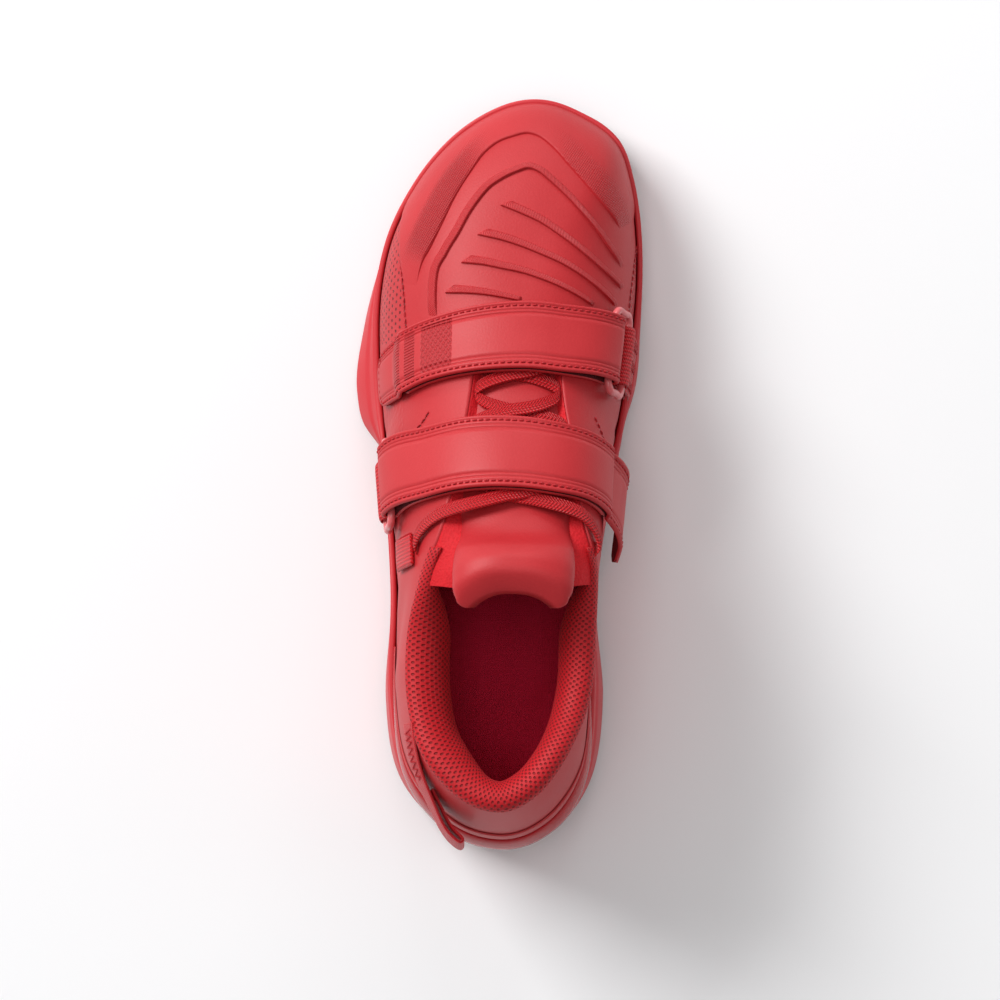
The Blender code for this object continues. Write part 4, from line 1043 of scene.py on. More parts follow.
def spacer_mesh():
    material, place, uv = new_finish("collar_mesh", 0.6, sheen=0.25)
    run, depth, _ = uv.parts()
    cell = run.waves(2.3) * depth.waves(3.0) + (run + 1.15).waves(2.3) * (depth + 1.5).waves(3.0)
    holes = cell.ramp(0.55, 0.95)
    cloud = place.noise(35.0, 3.0)
    colour = (holes * 0.8 + cloud * 0.2).shade((0.52, 0.004, 0.010), (0.20, 0.001, 0.002))
    return complete(material, colour, 1 - holes, 0.0007)


def round_the_back(front, count):
    """Stations and sides from the outer side, round the heel, to the inner side."""
    u = np.concatenate([np.linspace(front, 0.0, count), np.linspace(0.0, front, count)[1:]])
    return u, np.concatenate([np.full(count, -1.0), np.full(count - 1, 1.0)])


front = float(end_angle(0.397))
u, side = round_the_back(front, COLLAR_ROWS)
edge_height = last_point(u, opening_turn(u, side))[:, 2]
at_front = ease(u, float(end_angle(0.26)), front)
thicker = COLLAR_PAD_LATERAL * ease(u, 0.0, float(end_angle(0.1))) * (side < 0)
full = (COLLAR_PAD + thicker) * (1 - 0.80 * at_front ** 1.5)
depth = COLLAR_PAD_DEPTH * (1 - 0.30 * at_front)
count = len(COLLAR_SECTION)
table = Sections("key down inward", [(k / count, *COLLAR_SECTION[k % count]) for k in range(count + 1)])
fine = np.linspace(0.0, 1.0, 49)[:-1]
down = table.at("down", fine)[None, :] * depth[:, None]
inward = table.at("inward", fine)[None, :] * full[:, None]
turn = turn_at_height(u[:, None], side[:, None], edge_height[:, None] - down)
pad_points = off_last(u[:, None], turn, -inward)
pad_ends = [pad_points[k].mean(axis=0, keepdims=True) for k in (0, -1)]
pad_rows = [pad_ends[0] + (pad_points[0] - pad_ends[0]) * s for s in (0.0, 0.5, 0.85)]
pad_tail = [pad_ends[1] + (pad_points[-1] - pad_ends[1]) * s for s in (0.85, 0.5, 0.0)]
pad_grid = np.concatenate([pad_rows, pad_points, pad_tail])
sewn_down = np.ones(pad_grid.shape[:2])
sewn_down[6:-6] = ((fine < COLLAR_SEWN[0]) | (fine > COLLAR_SEWN[1]))[None, :]
collar = laid("collar_roll", pad_grid, wraps=True, marks={"sewn": sewn_down})


def swelled(piece, pressure, most):
    """Fills a padded piece by a short cloth simulation that holds what is sewn down. No place moves by more
    than most, and the places settle by a few hundredths of a millimetre."""
    mesh = piece.data
    count = len(mesh.vertices)
    before = np.empty(count * 3, np.float32)
    mesh.vertices.foreach_get("co", before)
    before = before.reshape(-1, 3)
    sewn = np.empty(count, np.float32)
    mesh.attributes["sewn"].data.foreach_get("value", sewn)
    group = piece.vertex_groups.new(name="sewn")
    group.add([int(v) for v in np.nonzero(sewn > 0.5)[0]], 1.0, "REPLACE")
    cloth = piece.modifiers.new("padding", "CLOTH")
    cloth.settings.vertex_group_mass = "sewn"
    cloth.settings.use_pressure = True
    cloth.settings.uniform_pressure_force = pressure
    cloth.settings.effector_weights.gravity = 0.0
    cloth.settings.quality = 5
    cloth.collision_settings.use_collision = False
    for number in range(1, 21):
        bpy.context.scene.frame_set(number)
    filled = piece.evaluated_get(bpy.context.evaluated_depsgraph_get())
    after = np.empty(count * 3, np.float32)
    filled.to_mesh().vertices.foreach_get("co", after)
    filled.to_mesh_clear()
    piece.modifiers.remove(cloth)
    piece.vertex_groups.remove(group)
    bpy.context.scene.frame_set(1)
    move = after.reshape(-1, 3) - before
    length = np.maximum(np.linalg.norm(move, axis=1, keepdims=True), 1e-9)
    move = move / length * most * np.tanh(length / most)
    mesh.vertices.foreach_set("co", (before + move).astype(np.float32).ravel())
    mesh.update()


PAD_PRESSURE = 4.0
PAD_MOST = 1.2 * MM
swelled(collar, PAD_PRESSURE, PAD_MOST)
fitted(collar, spacer_mesh(), "collar_padding", "collar_padding")


# Tongue: a padded flap of the same leather, lined with bright knit and sewn in at the throat's front. It runs
# under the laces, and its free end is rolled thick and bows in the middle.
TONGUE_ROLL = 11 * MM
TONGUE_BOW = 8 * MM
TONGUE_END = 4.5 * MM
TONGUE = Sections("along lateral medial lift thick", [
    (0.335, 0.22, 0.25, 0.273, 0.455),
    (0.345, 0.24, 0.28, 0.500, 0.818),
    (0.365, 0.25, 0.29, 0.591, 1.000),
    (0.400, 0.26, 0.30, 0.318, 0.818),
    (0.430, 0.27, 0.32, -0.236, 0.545),
    (0.455, 0.30, 0.36, -0.345, 0.455),
    (0.480, 0.33, 0.40, -0.345, 0.455),
    (0.600, 0.32, 0.38, -0.309, 0.364),
    (0.660, 0.30, 0.34, -0.300, 0.273),
])
TONGUE_COLUMNS = 64


def blunted(value, power):
    """A sine or cosine raised to a power, so that the ring they draw gets blunt sides."""
    return np.sign(value) * np.abs(value) ** power


def faced(piece, word, finish):
    """Gives a second finish to the faces whose places carry a mark."""
    piece.data.materials.append(finish)
    marked = np.empty(len(piece.data.vertices), np.float32)
    piece.data.attributes[word].data.foreach_get("value", marked)
    for face in piece.data.polygons:
        face.material_index = int(np.mean([marked[v] for v in face.vertices]) > 0.6)


def middle_line(ring):
    """A ring of places and the ring facing it, meeting half way."""
    return (ring + ring[(TONGUE_COLUMNS - np.arange(TONGUE_COLUMNS)) % TONGUE_COLUMNS]) / 2


along = np.concatenate([np.linspace(0.342, 0.352, 10), np.linspace(0.352, 0.46, 50)[1:],
                        np.linspace(0.46, 0.655, 40)[1:]])
across = np.cos(circle(TONGUE_COLUMNS))
body = np.sin(circle(TONGUE_COLUMNS))
lateral = TONGUE.at("lateral", along)[:, None]
reach = np.where(across[None, :] < 0, lateral, TONGUE.at("medial", along)[:, None])
place = blunted(across, 0.75)
turn = place * reach
thick = TONGUE.at("thick", along) * TONGUE_ROLL
lift = TONGUE.at("lift", along) * TONGUE_ROLL - thick / 2
half = blunted(body, 0.8) * thick[:, None] / 2
bow = TONGUE_BOW * (1 - ease(along, 0.335, 0.43))[:, None] * (1 - place ** 2)[None, :]
tongue_points = off_last(station_at(y_of(along[:, None]) + bow, turn), turn, lift[:, None] + half)
# the end rolls over: rows that close on the end's own middle line
end_line = middle_line(tongue_points[0])
centre = end_line.mean(axis=0)
tips = []
for s in (0.0, 0.12, 0.25, 0.4, 0.55, 0.7, 0.82, 0.92):
    narrowed = centre + (end_line - centre) * (0.68 + 0.32 * math.sqrt(s * (2 - s)))
    tips.append(narrowed + (tongue_points[0] - end_line) * s ** 0.6 - [0, TONGUE_END * (1 - s), 0])
tail_line = middle_line(tongue_points[-1])
tails = [tail_line + (tongue_points[-1] - tail_line) * s for s in (0.6, 0.0)]
tongue_rows = np.concatenate([tips, tongue_points, tails])
under = np.broadcast_to(np.where(body < -0.12, 1.0, 0.0)[None, :], tongue_rows.shape[:2])
past_roll = (np.arange(len(tongue_rows)) > 62)[:, None]
held = (body[None, :] < 0.1) | (np.abs(place)[None, :] > 0.92) | past_roll
tongue = laid("tongue_flap", tongue_rows, wraps=True, marks={"under": under, "sewn": held.astype(float)})
swelled(tongue, PAD_PRESSURE, PAD_MOST)
fitted(tongue, leather("tongue_leather"), "tongue", "tongue")
faced(tongue, "under", bright_lining("tongue_lining"))


# Gussets: two strips of the bright lining cloth. Each is sewn under one of the throat's edges and reaches in
# under the tongue, to keep the tongue in place.
GUSSET_DEPTH = 6.2 * MM
GUSSET_UNDER_TONGUE = 5 * MM
GUSSET_CLOTH = 0.7 * MM
GUSSET_SINK = 5 * MM

gusset_lining = bright_lining("gusset_lining")
u = np.linspace(float(end_angle(0.347)), throat - 0.002, 100)
along = share_of(feather(u, 1.0)[1])
s = np.linspace(0.0, 1.0, 16)
for word, sign in (("lateral", -1.0), ("medial", 1.0)):
    edge = np.abs(opening_turn(u, np.full(u.shape, sign)))
    gap = np.maximum(0.0, edge - TONGUE.at(word, along)) * TURN_LENGTH
    across = s * (0.08 + 0.92 * ease(along, 0.342, 0.376))[:, None]
    inward = 0.2 * MM + across * (gap[:, None] + GUSSET_UNDER_TONGUE)
    turn = sign * (edge[:, None] - inward / TURN_LENGTH)
    sunk = GUSSET_DEPTH + GUSSET_SINK * (1 - ease(along, 0.335, 0.385))[:, None]
    lift = -0.7 * MM - sunk * across ** 0.8
    over = off_last(u[:, None], turn, lift)
    under = off_last(u[:, None], turn, lift - GUSSET_CLOTH)
    closed = np.concatenate([over, under[:, ::-1]], axis=1)
    ends = [(np.concatenate([over[k], over[k][::-1]]) + closed[k])[None] / 2 for k in (0, -1)]
    gusset = laid("throat_gusset_" + word, np.concatenate([ends[0], closed, ends[1]]), wraps=True)
    fitted(gusset, gusset_lining, "upper")


# Laces: flat woven tape, run up the throat from eyelet to eyelet, crossing over the tongue, and out to the
# top eyelets, where the hidden ends go in.
LACE_WIDTH = 5 * MM
LACE_THICKNESS = 1.6 * MM
LACE_FRONT = 0.655
LACE_PITCH = 0.0475
LACE_ROWS = 5
LACE_TOP_RUN = 0.114
LACE_EDGE_TURN = 0.01625
LACE_TOP_REACH = 0.50
LACE_SUNK = 1.5 * MM
LACE_CROSSING = 0.85 * MM
EYELET_DIP = 3 * MM


def woven(name, pitch, dark, light):
    """Glossy woven tape: herringbone across, in step along."""
    material, _, uv = new_finish(name, 0.42, sheen=0.2)
    run, width, _ = uv.parts()
    slant = (run + abs(width - 3.2) * 0.8).waves(pitch)
    threads = width.waves(pitch * 0.8)
    weave = slant * 0.7 + threads * 0.3
    return complete(material, weave.shade(dark, light), weave, 0.0004)


def oval_tape(path_at, shares, width, thickness, ridge=0.0):
    """Rows of a flat tape's section; path_at gives the middle surface at a share and a place across."""
    across = blunted(np.cos(circle(24)), 0.7)
    body = blunted(np.sin(circle(24)), 0.7)
    swell = thickness / 2 * (1 + ridge * np.cos(2 * math.pi * across))
    return path_at(shares[:, None], across[None, :] * width / 2, body[None, :] * swell)


def lace_at(first_side):
    """Places on the lace that starts on a side, by its row of eyelets, across it and up through it."""

    def place(row, sideways, up):
        late = np.maximum(0.0, row - (LACE_ROWS - 2))
        along = LACE_FRONT - (row - late) * LACE_PITCH - LACE_TOP_RUN * late ** 1.6
        swing = np.cos(math.pi * row) * first_side
        side = np.where(swing > 0, 1.0, -1.0)
        over = LACE_CROSSING * np.sin(math.pi * row) * first_side
        climb = ease(late, 0.44, 0.72)
        lift = (over - LACE_SUNK) * (1 - climb) + (3.5 * GAP + LACE_THICKNESS / 2) * climb
        lift = lift - EYELET_DIP * ease(late, 0.93, 1.0)
        u = station_at(y_of(along), 0.2 * side)
        inside = np.abs(opening_turn(u, side)) - LACE_EDGE_TURN
        reach = inside * (1 - climb) + LACE_TOP_REACH * climb
        turn = blunted(swing, 0.8) * reach
        return off_last(station_at(y_of(along) + sideways, turn), turn, lift + up)
    return place


lace_weave = woven("lace_weave", 1.3, (0.26, 0.001, 0.003), (0.66, 0.007, 0.014))
shares = np.linspace(0.0, LACE_ROWS - 1.0, 170)
for number, first_side in enumerate((-1, 1), 1):
    tape = oval_tape(lace_at(first_side), shares, LACE_WIDTH, LACE_THICKNESS, 0.25)
    lace = laid("lace_%d" % number, ended(tape, 0.01), wraps=True)
    fitted(lace, lace_weave, "lace", *(["lace"] if number == 1 else []))


# Straps: two long tabs of synthetic leather backed with felt, sewn down on one side, led through a metal
# loop on the other and closed back on themselves with hook and loop. Each has bound edges, a row of
# stitches beside them, and two pressed grooves.
FOREFOOT_STRAP = Sections("turn front rear", [
    (-0.80, 0.652, 0.584),
    (-0.56, 0.681, 0.600),
    (-0.37, 0.700, 0.617),
    (-0.18, 0.714, 0.627),
    (0.00, 0.720, 0.630),
    (0.23, 0.715, 0.625),
    (0.44, 0.708, 0.619),
    (0.60, 0.700, 0.611),
    (0.95, 0.680, 0.590),
])
INSTEP_STRAP = Sections("turn front rear", [
    (-0.95, 0.500, 0.410),
    (-0.74, 0.520, 0.434),
    (-0.57, 0.545, 0.454),
    (-0.36, 0.558, 0.468),
    (-0.20, 0.567, 0.476),
    (-0.02, 0.568, 0.478),
    (0.16, 0.561, 0.472),
    (0.40, 0.547, 0.460),
    (0.62, 0.527, 0.437),
    (0.78, 0.505, 0.405),
    (0.95, 0.470, 0.365),
])
STRAP_THICKNESS = 2.2 * MM
STRAP_CORNER = 7 * MM
STRAP_CLOSING = 26 * MM
STRAP_FIRST_ROWS = 60
STRAP_LOOSE = {"forefoot": 0.0, "instep": 6 * MM}
STRAP_LOOSE_REACH = 28 * MM
STRAP_SETTLE = 7 * MM
STRAP_WIDTH = 26.5
STITCH_INSET = 1.9
RING_RADIUS = 1.5 * MM
RING_SPAN = 10.5 * MM
WEBBING_THICKNESS = 1.4 * MM


def square_to(grid):
    """Directions square to a surface given by a grid of places."""
    return unit(np.cross(np.gradient(grid, axis=0), np.gradient(grid, axis=1)))


def strap_place(table, turn, across, lift):
    """Place on a strap: its turn round the upper, and across it from 0 in front to 1 behind."""
    y = y_of(table.at("front", turn) * (1 - across) + table.at("rear", turn) * across)
    return off_last(station_at(y, turn), turn, lift)


def arc_of_turn(table, turn):
    """Length round the upper for one whole turn, at the middle of a strap."""
    turn = np.array(turn)
    near = 0.01
    ends = strap_place(table, turn + near, 0.5, 0.0) - strap_place(table, turn - near, 0.5, 0.0)
    return float(np.linalg.norm(ends)) / (2 * near)


def strap_path(table, side, bar, start, end, loose):
    """Turns and lifts of the strap's middle: first layer, fold round the bar, and back on top, with the
    loose end standing away from the shoe."""
    first = GAP + STRAP_THICKNESS / 2
    radius = STRAP_THICKNESS / 2 + GAP + RING_RADIUS
    arc = arc_of_turn(table, bar)
    second = first + STRAP_THICKNESS + GAP
    lower = np.linspace(start, bar, STRAP_FIRST_ROWS)
    angle = np.radians(np.linspace(-90, 90, 15)[1:-1])
    upper_turns = np.linspace(bar, end, 190)
    from_bar = np.abs(upper_turns - bar) * arc
    from_start = (start - upper_turns) * side * arc
    drop = (first + 2 * radius - second) * (1 - ease(from_bar, 0.0, STRAP_CLOSING))
    settle = ((second - first) * ease(from_start, 1 * MM, STRAP_SETTLE)
              - loose * ease(from_start, 0, STRAP_LOOSE_REACH))
    turns = np.concatenate([lower, bar + side * radius * np.cos(angle) / arc, upper_turns])
    lifts = np.concatenate([np.full(STRAP_FIRST_ROWS, first), first + radius + radius * np.sin(angle),
                            second + drop - settle])
    return turns, lifts, arc


def strap_grid(table, side, bar, start, end, loose, across):
    """The strap's turns, middle surface and square directions, for places across from the front edge."""
    turns, lifts, arc = strap_path(table, side, bar, start, end, loose)
    count = len(turns)
    off_middle = np.maximum(0.0, (np.abs(2 * across - 1) - 0.4) / 0.6)
    cut = side * STRAP_CORNER / arc * (1 - np.sqrt(np.maximum(0.0, 1 - off_middle ** 2)))
    late = np.clip((np.arange(count) - (count - 50)) / 49, 0.0, 1.0)
    turn = turns[:, None] + cut[None, :] * late[:, None]
    middle = strap_place(table, turn, across[None, :], lifts[:, None])
    return turns, middle, square_to(middle)


def strap_leather():
    """The same leather, pressed with studs and bars where the strap's turn is marked."""
    material, place, uv = new_finish("strap_leather", 0.5)
    pebble = place.cells(1500.0, "SMOOTH_F1")
    cloud = place.noise(24.0, 4.0, 0.6)
    run, width, _ = uv.parts()
    turn = place.mark("turn")
    inset = place.mark("inset")
    inner = inset.ramp(3.2, 3.6)
    lozenges = turn.within(-0.405, -0.268, 0.003) * inner
    bars = (turn.within(-0.495, -0.440, 0.003) + turn.within(-0.580, -0.525, 0.003)) * inner
    slant = (run + width * 0.75).waves(2.3)
    other = (run - width * 0.75).waves(2.3)
    studs = slant.math("MINIMUM", slant, other)
    rows = width.waves(1.25)
    pattern = studs * lozenges + rows * bars + (1 - lozenges - bars)
    colour = (cloud * 0.70 + pebble * 0.2 + pattern * 0.8 - 0.7).shade(LEATHER_DARK, LEATHER_LIGHT)
    relief = pebble * 0.05 + pattern * 0.6
    return complete(material, colour, relief, 0.0008, cloud * 0.14 + 0.40)


def felt_backing():
    """The loop side of the closing: dark pile that shows at the straps' edges and underneath."""
    material, place, _ = new_finish("strap_backing", 0.95, sheen=0.2)
    pile = place.cells(1400.0)
    return complete(material, pile.shade((0.035, 0.0005, 0.001), (0.10, 0.001, 0.003)), pile, 0.0003)


# The section's relief from its edge: distance in millimetres, height as a share of half the thickness
STRAP_RELIEF = np.array([
    (0.00, 0.00),
    (0.12, 0.50),
    (0.35, 0.84),
    (0.70, 1.00),
    (1.10, 0.97),
    (1.35, 0.72),
    (1.60, 0.64),
    (2.20, 0.64),
    (2.45, 0.88),
    (3.30, 0.92),
    (3.45, 0.66),
    (3.65, 0.66),
    (3.80, 0.92),
    (4.60, 0.92),
    (4.75, 0.64),
    (4.95, 0.64),
    (5.10, 0.92),
    (6.50, 1.00),
    (9.50, 1.03),
    (13.50, 1.05),
])


STRAP_BACK = np.array([
    (0.988, -0.7),
    (0.95, -1.0),
    (0.8, -1.0),
    (0.5, -1.0),
    (0.2, -1.0),
    (0.05, -1.0),
    (0.012, -0.7),
])
UNMARKED = 5.0  # past every turn, so no pattern is pressed there


def between_rows(grid, places, rows, shares):
    """Values of a grid at fractions of its rows, and at shares across it."""
    low = rows.astype(int)
    part = (rows - low)[:, None]
    at_low, at_high = [np.array([[np.interp(s, places, grid[r, :, k]) for k in range(3)]
                                 for r, s in zip(low + step, shares)]) for step in (0, 1)]
    return at_low * (1 - part) + at_high * part


def make_strap(name, table, side, bar, start, end, finish, backing, patterned):
    """The strap's tab with its bound edges and grooves, and its row of stitches."""
    top = np.concatenate([STRAP_RELIEF[:, 0], STRAP_WIDTH - STRAP_RELIEF[-2::-1, 0]]) / STRAP_WIDTH
    across = np.concatenate([top, STRAP_BACK[:, 0]])
    rise = np.concatenate([STRAP_RELIEF[:, 1], STRAP_RELIEF[-2::-1, 1], STRAP_BACK[:, 1]])
    places = np.unique(across)
    turns, middle, normal = strap_grid(table, side, bar, start, end, STRAP_LOOSE[name], places)
    order = np.searchsorted(places, across)
    normal = normal * side
    points = middle[:, order] + normal[:, order] * (rise * STRAP_THICKNESS / 2)[None, :, None]
    points = np.concatenate([middle[:1, order], points, middle[-1:, order]])
    on_top = np.arange(len(turns)) > STRAP_FIRST_ROWS
    turn_mark = (np.where(on_top & patterned, turns, UNMARKED)[:, None]
                 + np.where(rise > 0, 0.0, UNMARKED)[None, :])
    marks = {
        "turn": np.concatenate([turn_mark[:1], turn_mark, turn_mark[-1:]]),
        "inset": np.broadcast_to(np.minimum(across, 1 - across)[None, :] * STRAP_WIDTH, points.shape[:2]),
        "felt": np.broadcast_to((rise < 0).astype(float)[None, :], points.shape[:2]),
    }
    strap = laid(name + "_strap_tab", points, wraps=True, marks=marks)
    fitted(strap, finish, name + "_strap", name + "_strap")
    faced(strap, "felt", backing)

    edge = STITCH_INSET / STRAP_WIDTH
    tip = len(turns) - 1 - STITCH_INSET / 0.55
    along_edge = np.linspace(STRAP_FIRST_ROWS + 4, tip, 150)
    rows = np.concatenate([along_edge, np.full(20, tip), along_edge[::-1]])
    shares = np.concatenate([np.full(150, edge), np.linspace(edge, 1 - edge, 20), np.full(150, 1 - edge)])
    outward = between_rows(normal, places, rows, shares)
    sewn = between_rows(middle, places, rows, shares) + outward * 0.66 * STRAP_THICKNESS / 2
    thread(name + "_strap_stitches", sewn, outward, name + "_strap", pitch=2.6, radius=0.38)


strap_finish = strap_leather()
strap_felt = felt_backing()
# Name, edges, side of the ring, and turns of the ring's bar, the two ends, and the webbing's end
STRAPS = (
    ("forefoot", FOREFOOT_STRAP, 1, 0.50, -0.52, -0.79, 0.89),
    ("instep", INSTEP_STRAP, -1, -0.64, 0.55, 0.90, -0.88),
)
for name, table, side, bar, start, end, tab_end in STRAPS:
    make_strap(name, table, side, bar, start, end, strap_finish, strap_felt, name == "forefoot")


# Rings and their webbing: a painted steel loop under each fold, held by a woven tab that is folded round
# its far bar and sewn down to the side of the upper with zigzag rows.
WEBBING_CLOSING = 6 * MM
RING_SIDE_ROOM = 1.0 * MM
ZIGZAG_COLUMNS = (4.0, 12.0, 20.0)


def painted_steel():
    material, place, _ = new_finish("ring_paint", 0.30, coat=0.5)
    flecks = place.noise(900.0, 2.0)
    # The paint's pale pink, lighter than the shoe's other reds, is a painted highlight on the ring.
    return complete(material, flecks.shade((0.62, 0.09, 0.10), (0.76, 0.16, 0.17)), flecks, 0.00005)


def webbing_weave():
    """Glossy ribbed webbing: ribs across, threads along."""
    material, _, uv = new_finish("webbing_weave", 0.35, sheen=0.2)
    run, width, _ = uv.parts()
    ribs = width.waves(1.5)
    picks = (run + width * 0.5).waves(0.8)
    weave = ribs * 0.65 + picks * 0.35
    return complete(material, weave.shade((0.36, 0.001, 0.004), (0.74, 0.008, 0.018)), weave, 0.0005)


def webbing_tape(name, middle, slot, *nodes):
    """A closed tape about a grid of middle places, with rounded edges."""
    normal = square_to(middle)
    share = np.linspace(0.0, 1.0, middle.shape[1])
    swell = np.sqrt(np.clip(1 - np.abs(2 * share - 1) ** 8, 0.0, 1.0))
    half = normal * (swell * WEBBING_THICKNESS / 2)[None, :, None]
    points = np.concatenate([middle + half, (middle - half)[:, ::-1]], axis=1)
    flat = np.concatenate([middle, middle[:, ::-1]], axis=1)
    piece = laid(name, np.concatenate([flat[:1], points, flat[-1:]]), wraps=True)
    fitted(piece, weave, slot, *nodes)
    return normal


def zigzag(count, pace):
    """A to and fro between -1 and 1, pace rounds a step."""
    return 2 * np.abs((np.arange(count) * pace) % 1 - 0.5) * 2 - 1


steel = painted_steel()
weave = webbing_weave()
for name, table, side, bar, start, end, tab_end in STRAPS:
    arc = arc_of_turn(table, bar)
    far = bar + side * RING_SPAN / arc
    near_lift = 2 * GAP + STRAP_THICKNESS + RING_RADIUS
    far_lift = 2 * GAP + WEBBING_THICKNESS + RING_RADIUS
    width = float(table.at("front", bar) - table.at("rear", bar)) * SHOE_LENGTH
    margin = (RING_RADIUS + RING_SIDE_ROOM) / width
    way = np.array([0.0] * 5 + [0.12, 0.5, 0.88] + [1.0] * 5 + [0.88, 0.5, 0.12])
    ring_turn = bar + (far - bar) * way
    ring_lift = near_lift + (far_lift - near_lift) * way
    bar_over = np.linspace(-margin * 0.4, 1 + margin * 0.4, 5)
    ring_over = np.concatenate([bar_over, [1 + margin] * 3, bar_over[::-1], [-margin] * 3])
    route = strap_place(table, ring_turn, ring_over, ring_lift)
    closed = np.concatenate([route[-2:], route, route[:3]])
    keys = distances(closed)
    curve = Sections("key x y z", [(k, *p) for k, p in zip(keys, closed)])
    at = np.linspace(keys[2], keys[-3], 120)
    wire = np.stack([curve.at(axis, at) for axis in "xyz"], axis=1)
    run = np.roll(wire, -1, axis=0) - np.roll(wire, 1, axis=0)
    run[0] = wire[1] - wire[-2]
    run[-1] = run[0]
    run = unit(run)
    out = [np.sign(route.mean(axis=0)[0]), 0.0, 0.6]
    one = unit(np.cross(run, out))
    two = np.cross(one, run)
    around = circle(16)
    tube = wire[:, None] + RING_RADIUS * (np.cos(around)[None, :, None] * one[:, None]
                                          + np.sin(around)[None, :, None] * two[:, None])
    tube[-1] = tube[0]
    fitted(laid(name + "_ring_loop", tube, wraps=True), steel, name + "_ring", name + "_ring")

    first = GAP + WEBBING_THICKNESS / 2
    radius = WEBBING_THICKNESS / 2 + GAP + RING_RADIUS
    second = first + WEBBING_THICKNESS + GAP
    angle = np.radians(np.linspace(-90, 90, 13)[1:-1])
    back = np.linspace(far, tab_end, 60)
    drop = (far_lift + radius - second) * (1 - ease(np.abs(back - far) * arc, 0.0, WEBBING_CLOSING))
    fold = far - side * radius * np.cos(angle) / arc
    tab_turn = np.concatenate([np.linspace(tab_end, far, 30), fold, back])
    tab_lift = np.concatenate([np.full(30, first), far_lift + radius * np.sin(angle), second + drop])
    over = np.linspace(0.06, 0.94, 25)[None, :]
    middle = strap_place(table, tab_turn[:, None], over, tab_lift[:, None])
    webbing = name + "_ring_webbing"
    up = -side * webbing_tape(name + "_webbing_tab", middle, webbing, webbing)
    row = np.linspace(62, len(tab_turn) - 3, 90).astype(int)
    for number, centre in enumerate(ZIGZAG_COLUMNS, 1):
        place = centre + 2.0 * zigzag(90, 0.22)
        column = place.astype(int)
        part = (place - column)[:, None]
        outward = up[row, column]
        sewn = middle[row, column] * (1 - part) + middle[row, column + 1] * part
        thread("%s_webbing_zigzag_%d" % (name, number), sewn + outward * WEBBING_THICKNESS / 2, outward,
               webbing, pitch=1.5, radius=0.25)


# Webbing patch: the end of the instep ring's webbing. It comes out from under the strap and is sewn flat to
# the outer side of the upper, beside the end of the lace.
PATCH_LIFT = GAP + WEBBING_THICKNESS / 2
PATCH_TURNS = (-0.53, -0.70)
PATCH_FRONT = 0.425
PATCH_WIDTH = 0.042

patch_turn = np.linspace(*PATCH_TURNS, 30)[:, None]
patch_along = (PATCH_FRONT - PATCH_WIDTH * np.linspace(0.0, 1.0, 15)[None, :]
               + 0.06 * (patch_turn - PATCH_TURNS[0]))
middle = off_last(station_at(y_of(patch_along), patch_turn), patch_turn, PATCH_LIFT)
webbing_tape("instep_webbing_patch", middle[::-1], "instep_ring_webbing")


# Pull loop: a woven tape sewn to the outer side of the heel and folded back on itself, for pulling the
# shoe on. Its fold stands out past the heel.
PULL_TAPE = Sections("share u turn lift", [
    (0.00, 0.255, -0.575, 0.098),
    (0.15, 0.215, -0.595, 0.109),
    (0.30, 0.170, -0.630, 0.217),
    (0.45, 0.120, -0.680, 0.500),
    (0.55, 0.075, -0.725, 0.935),
    (0.59, 0.060, -0.735, 1.000),
    (0.63, 0.058, -0.740, 0.826),
    (0.70, 0.080, -0.725, 0.630),
    (0.85, 0.115, -0.695, 0.283),
    (1.00, 0.145, -0.665, 0.130),
])
PULL_WIDTH = 9 * MM
PULL_RISE = 9.2 * MM
PULL_SEWN = slice(4, 34)

share = np.linspace(0.0, 1.0, 110)
tape_u, tape_turn, tape_lift = [PULL_TAPE.at(word, share) for word in ("u", "turn", "lift")]
tape_lift = tape_lift * PULL_RISE
over = np.linspace(-1.0, 1.0, 15)[None, :] * PULL_WIDTH / 2 / TURN_LENGTH
middle = off_last(tape_u[:, None], tape_turn[:, None] + over, tape_lift[:, None])
webbing_tape("pull_tape", middle, "pull_loop", "pull_loop")
tape_u, tape_turn, tape_lift = tape_u[PULL_SEWN], tape_turn[PULL_SEWN], tape_lift[PULL_SEWN]
sewn = off_last(tape_u, tape_turn + 0.03 * zigzag(30, 0.25), tape_lift + WEBBING_THICKNESS / 2)
outward = off_last(tape_u, tape_turn, tape_lift + 5 * MM) - off_last(tape_u, tape_turn, tape_lift)
thread("pull_tape_zigzag", sewn, outward, "pull_loop", pitch=1.6, radius=0.28)


# Heel clip: a stiff counter of glossy plastic, moulded in one piece and cemented round the back of the upper,
# where it stands on the midsole's rim. It thins towards its two front ends and flares at its foot.
CLIP_THICKNESS = 2.0 * MM
CLIP_HEIGHT = 15 * MM
CLIP_REACH = 78 * MM
CLIP_STAND_OFF = 0.15 * MM
CLIP_SECTION = [(0.0, 0.0), (0.0, 2.1), (0.35, 1.8), (0.88, 0.85), (1.0, 0.0)]


def gloss_red():
    material, place, _ = new_finish("clip_gloss", 0.24, coat=0.12, gloss=0.18)
    flow = place.noise(70.0, 3.0)
    colour = flow.shade((0.36, 0.001, 0.005), (0.50, 0.003, 0.010))
    return complete(material, colour, flow, 0.0004)


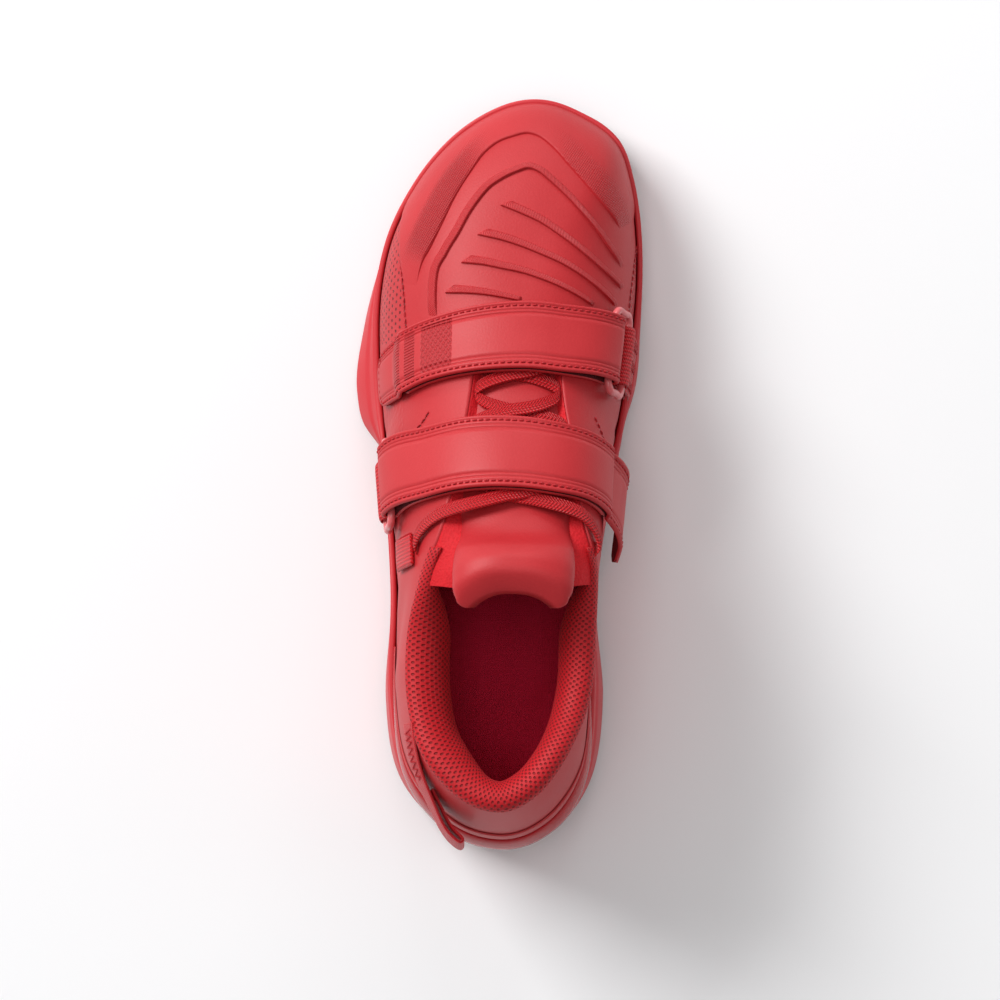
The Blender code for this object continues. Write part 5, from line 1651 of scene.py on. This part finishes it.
def round_the_heel(section, radius):
    """A band round the heel from side to side. The section's corners are shares of the clip's height and
    thickness, rounded by a radius."""
    table = rounded(np.array(section)[:, None], radius, 5)[:, 0]
    front = float(end_angle(CLIP_REACH / SHOE_LENGTH))
    u, side = round_the_back(front, 90)
    along = share_of(feather(u, side)[1])
    low = bed(along) + 2 * GAP + cup_rise(along)
    taper = 1 - 0.75 * ease(u, float(end_angle(0.04)), front)
    height = low[:, None] + table[None, :, 0] * (CLIP_HEIGHT * taper)[:, None]
    turn = turn_at_height(u[:, None], side[:, None], height)
    lift = CLIP_STAND_OFF + table[None, :, 1] * (CLIP_THICKNESS * taper)[:, None]
    return ended(off_last(u[:, None], turn, lift))


clip = laid("heel_counter", round_the_heel(CLIP_SECTION, 0.4), wraps=True)
fitted(clip, gloss_red(), "heel_clip", "heel_clip")


# Heel band: a narrow strip of the upper's leather, laid round the heel just above the clip. It hides the edge
# where the clip's cement ends.
BAND_SECTION = [(1.12, 0.0), (1.12, 0.42), (1.35, 0.45), (1.62, 0.42), (1.66, 0.0)]

heel_band = laid("heel_band", round_the_heel(BAND_SECTION, 0.1), wraps=True)
fitted(heel_band, leather("heel_band_leather"), "upper")


# Studio: a floor of pale paper, soft light from large panels, and a camera straight above the middle between
# the two shoes, turned to this one as the photograph shows it.
PHOTO_DISTANCE = 1.535
MM_A_PIXEL = 0.401

bpy.ops.object.select_all(action="DESELECT")
bpy.ops.mesh.primitive_plane_add(size=12.0, location=(0.0, 0.0, 0.0))
floor = bpy.context.object
floor.name = "studio_floor"
paper = bpy.data.materials.new("floor_paper")
paper.use_nodes = True
paper_shader = paper.node_tree.nodes["Principled BSDF"]
paper_shader.inputs["Base Color"].default_value = (0.93, 0.93, 0.94, 1.0)
paper_shader.inputs["Roughness"].default_value = 0.9
floor.data.materials.append(paper)

bpy.context.scene.view_settings.view_transform = "Standard"
world = bpy.data.worlds.new("studio")
bpy.context.scene.world = world
world.use_nodes = True
background = world.node_tree.nodes["Background"]
background.inputs["Color"].default_value = (1.0, 1.0, 1.0, 1.0)
background.inputs["Strength"].default_value = 0.31


def soft_panel(name, location, aim_height, size, power):
    """A large area light, turned to a height over the floor's middle."""
    lamp = bpy.data.lights.new(name, "AREA")
    lamp.shape = "RECTANGLE"
    lamp.size, lamp.size_y = size
    lamp.energy = power
    item = bpy.data.objects.new(name, lamp)
    bpy.context.scene.collection.objects.link(item)
    item.location = location
    x, y, z = location
    item.rotation_euler = (math.atan2(math.hypot(x, y), z - aim_height), 0.0, math.atan2(x, -y))


soft_panel("key_panel", (-2.0, 1.8, 2.0), 0.05, (1.8, 1.2), 104.0)
soft_panel("toe_panel", (0.2, 2.4, 1.0), 0.05, (1.4, 0.8), 14.0)
soft_panel("right_panel", (2.4, 0.2, 1.0), 0.05, (0.8, 1.6), 3.0)
soft_panel("overhead_panel", (0.0, 0.1, 2.4), 0.0, (1.2, 1.2), 9.0)

camera_data = bpy.data.cameras.new("camera")
camera = bpy.data.objects.new("camera", camera_data)
bpy.context.scene.collection.objects.link(camera)
bpy.context.scene.camera = camera
camera.location = (0.067, -0.010, 1.550)
camera.rotation_euler = (0.0, math.atan2(camera.location[0], camera.location[2]), 0.0)
camera_data.sensor_width = 36.0
camera_data.lens = camera_data.sensor_width * PHOTO_DISTANCE / MM_A_PIXEL
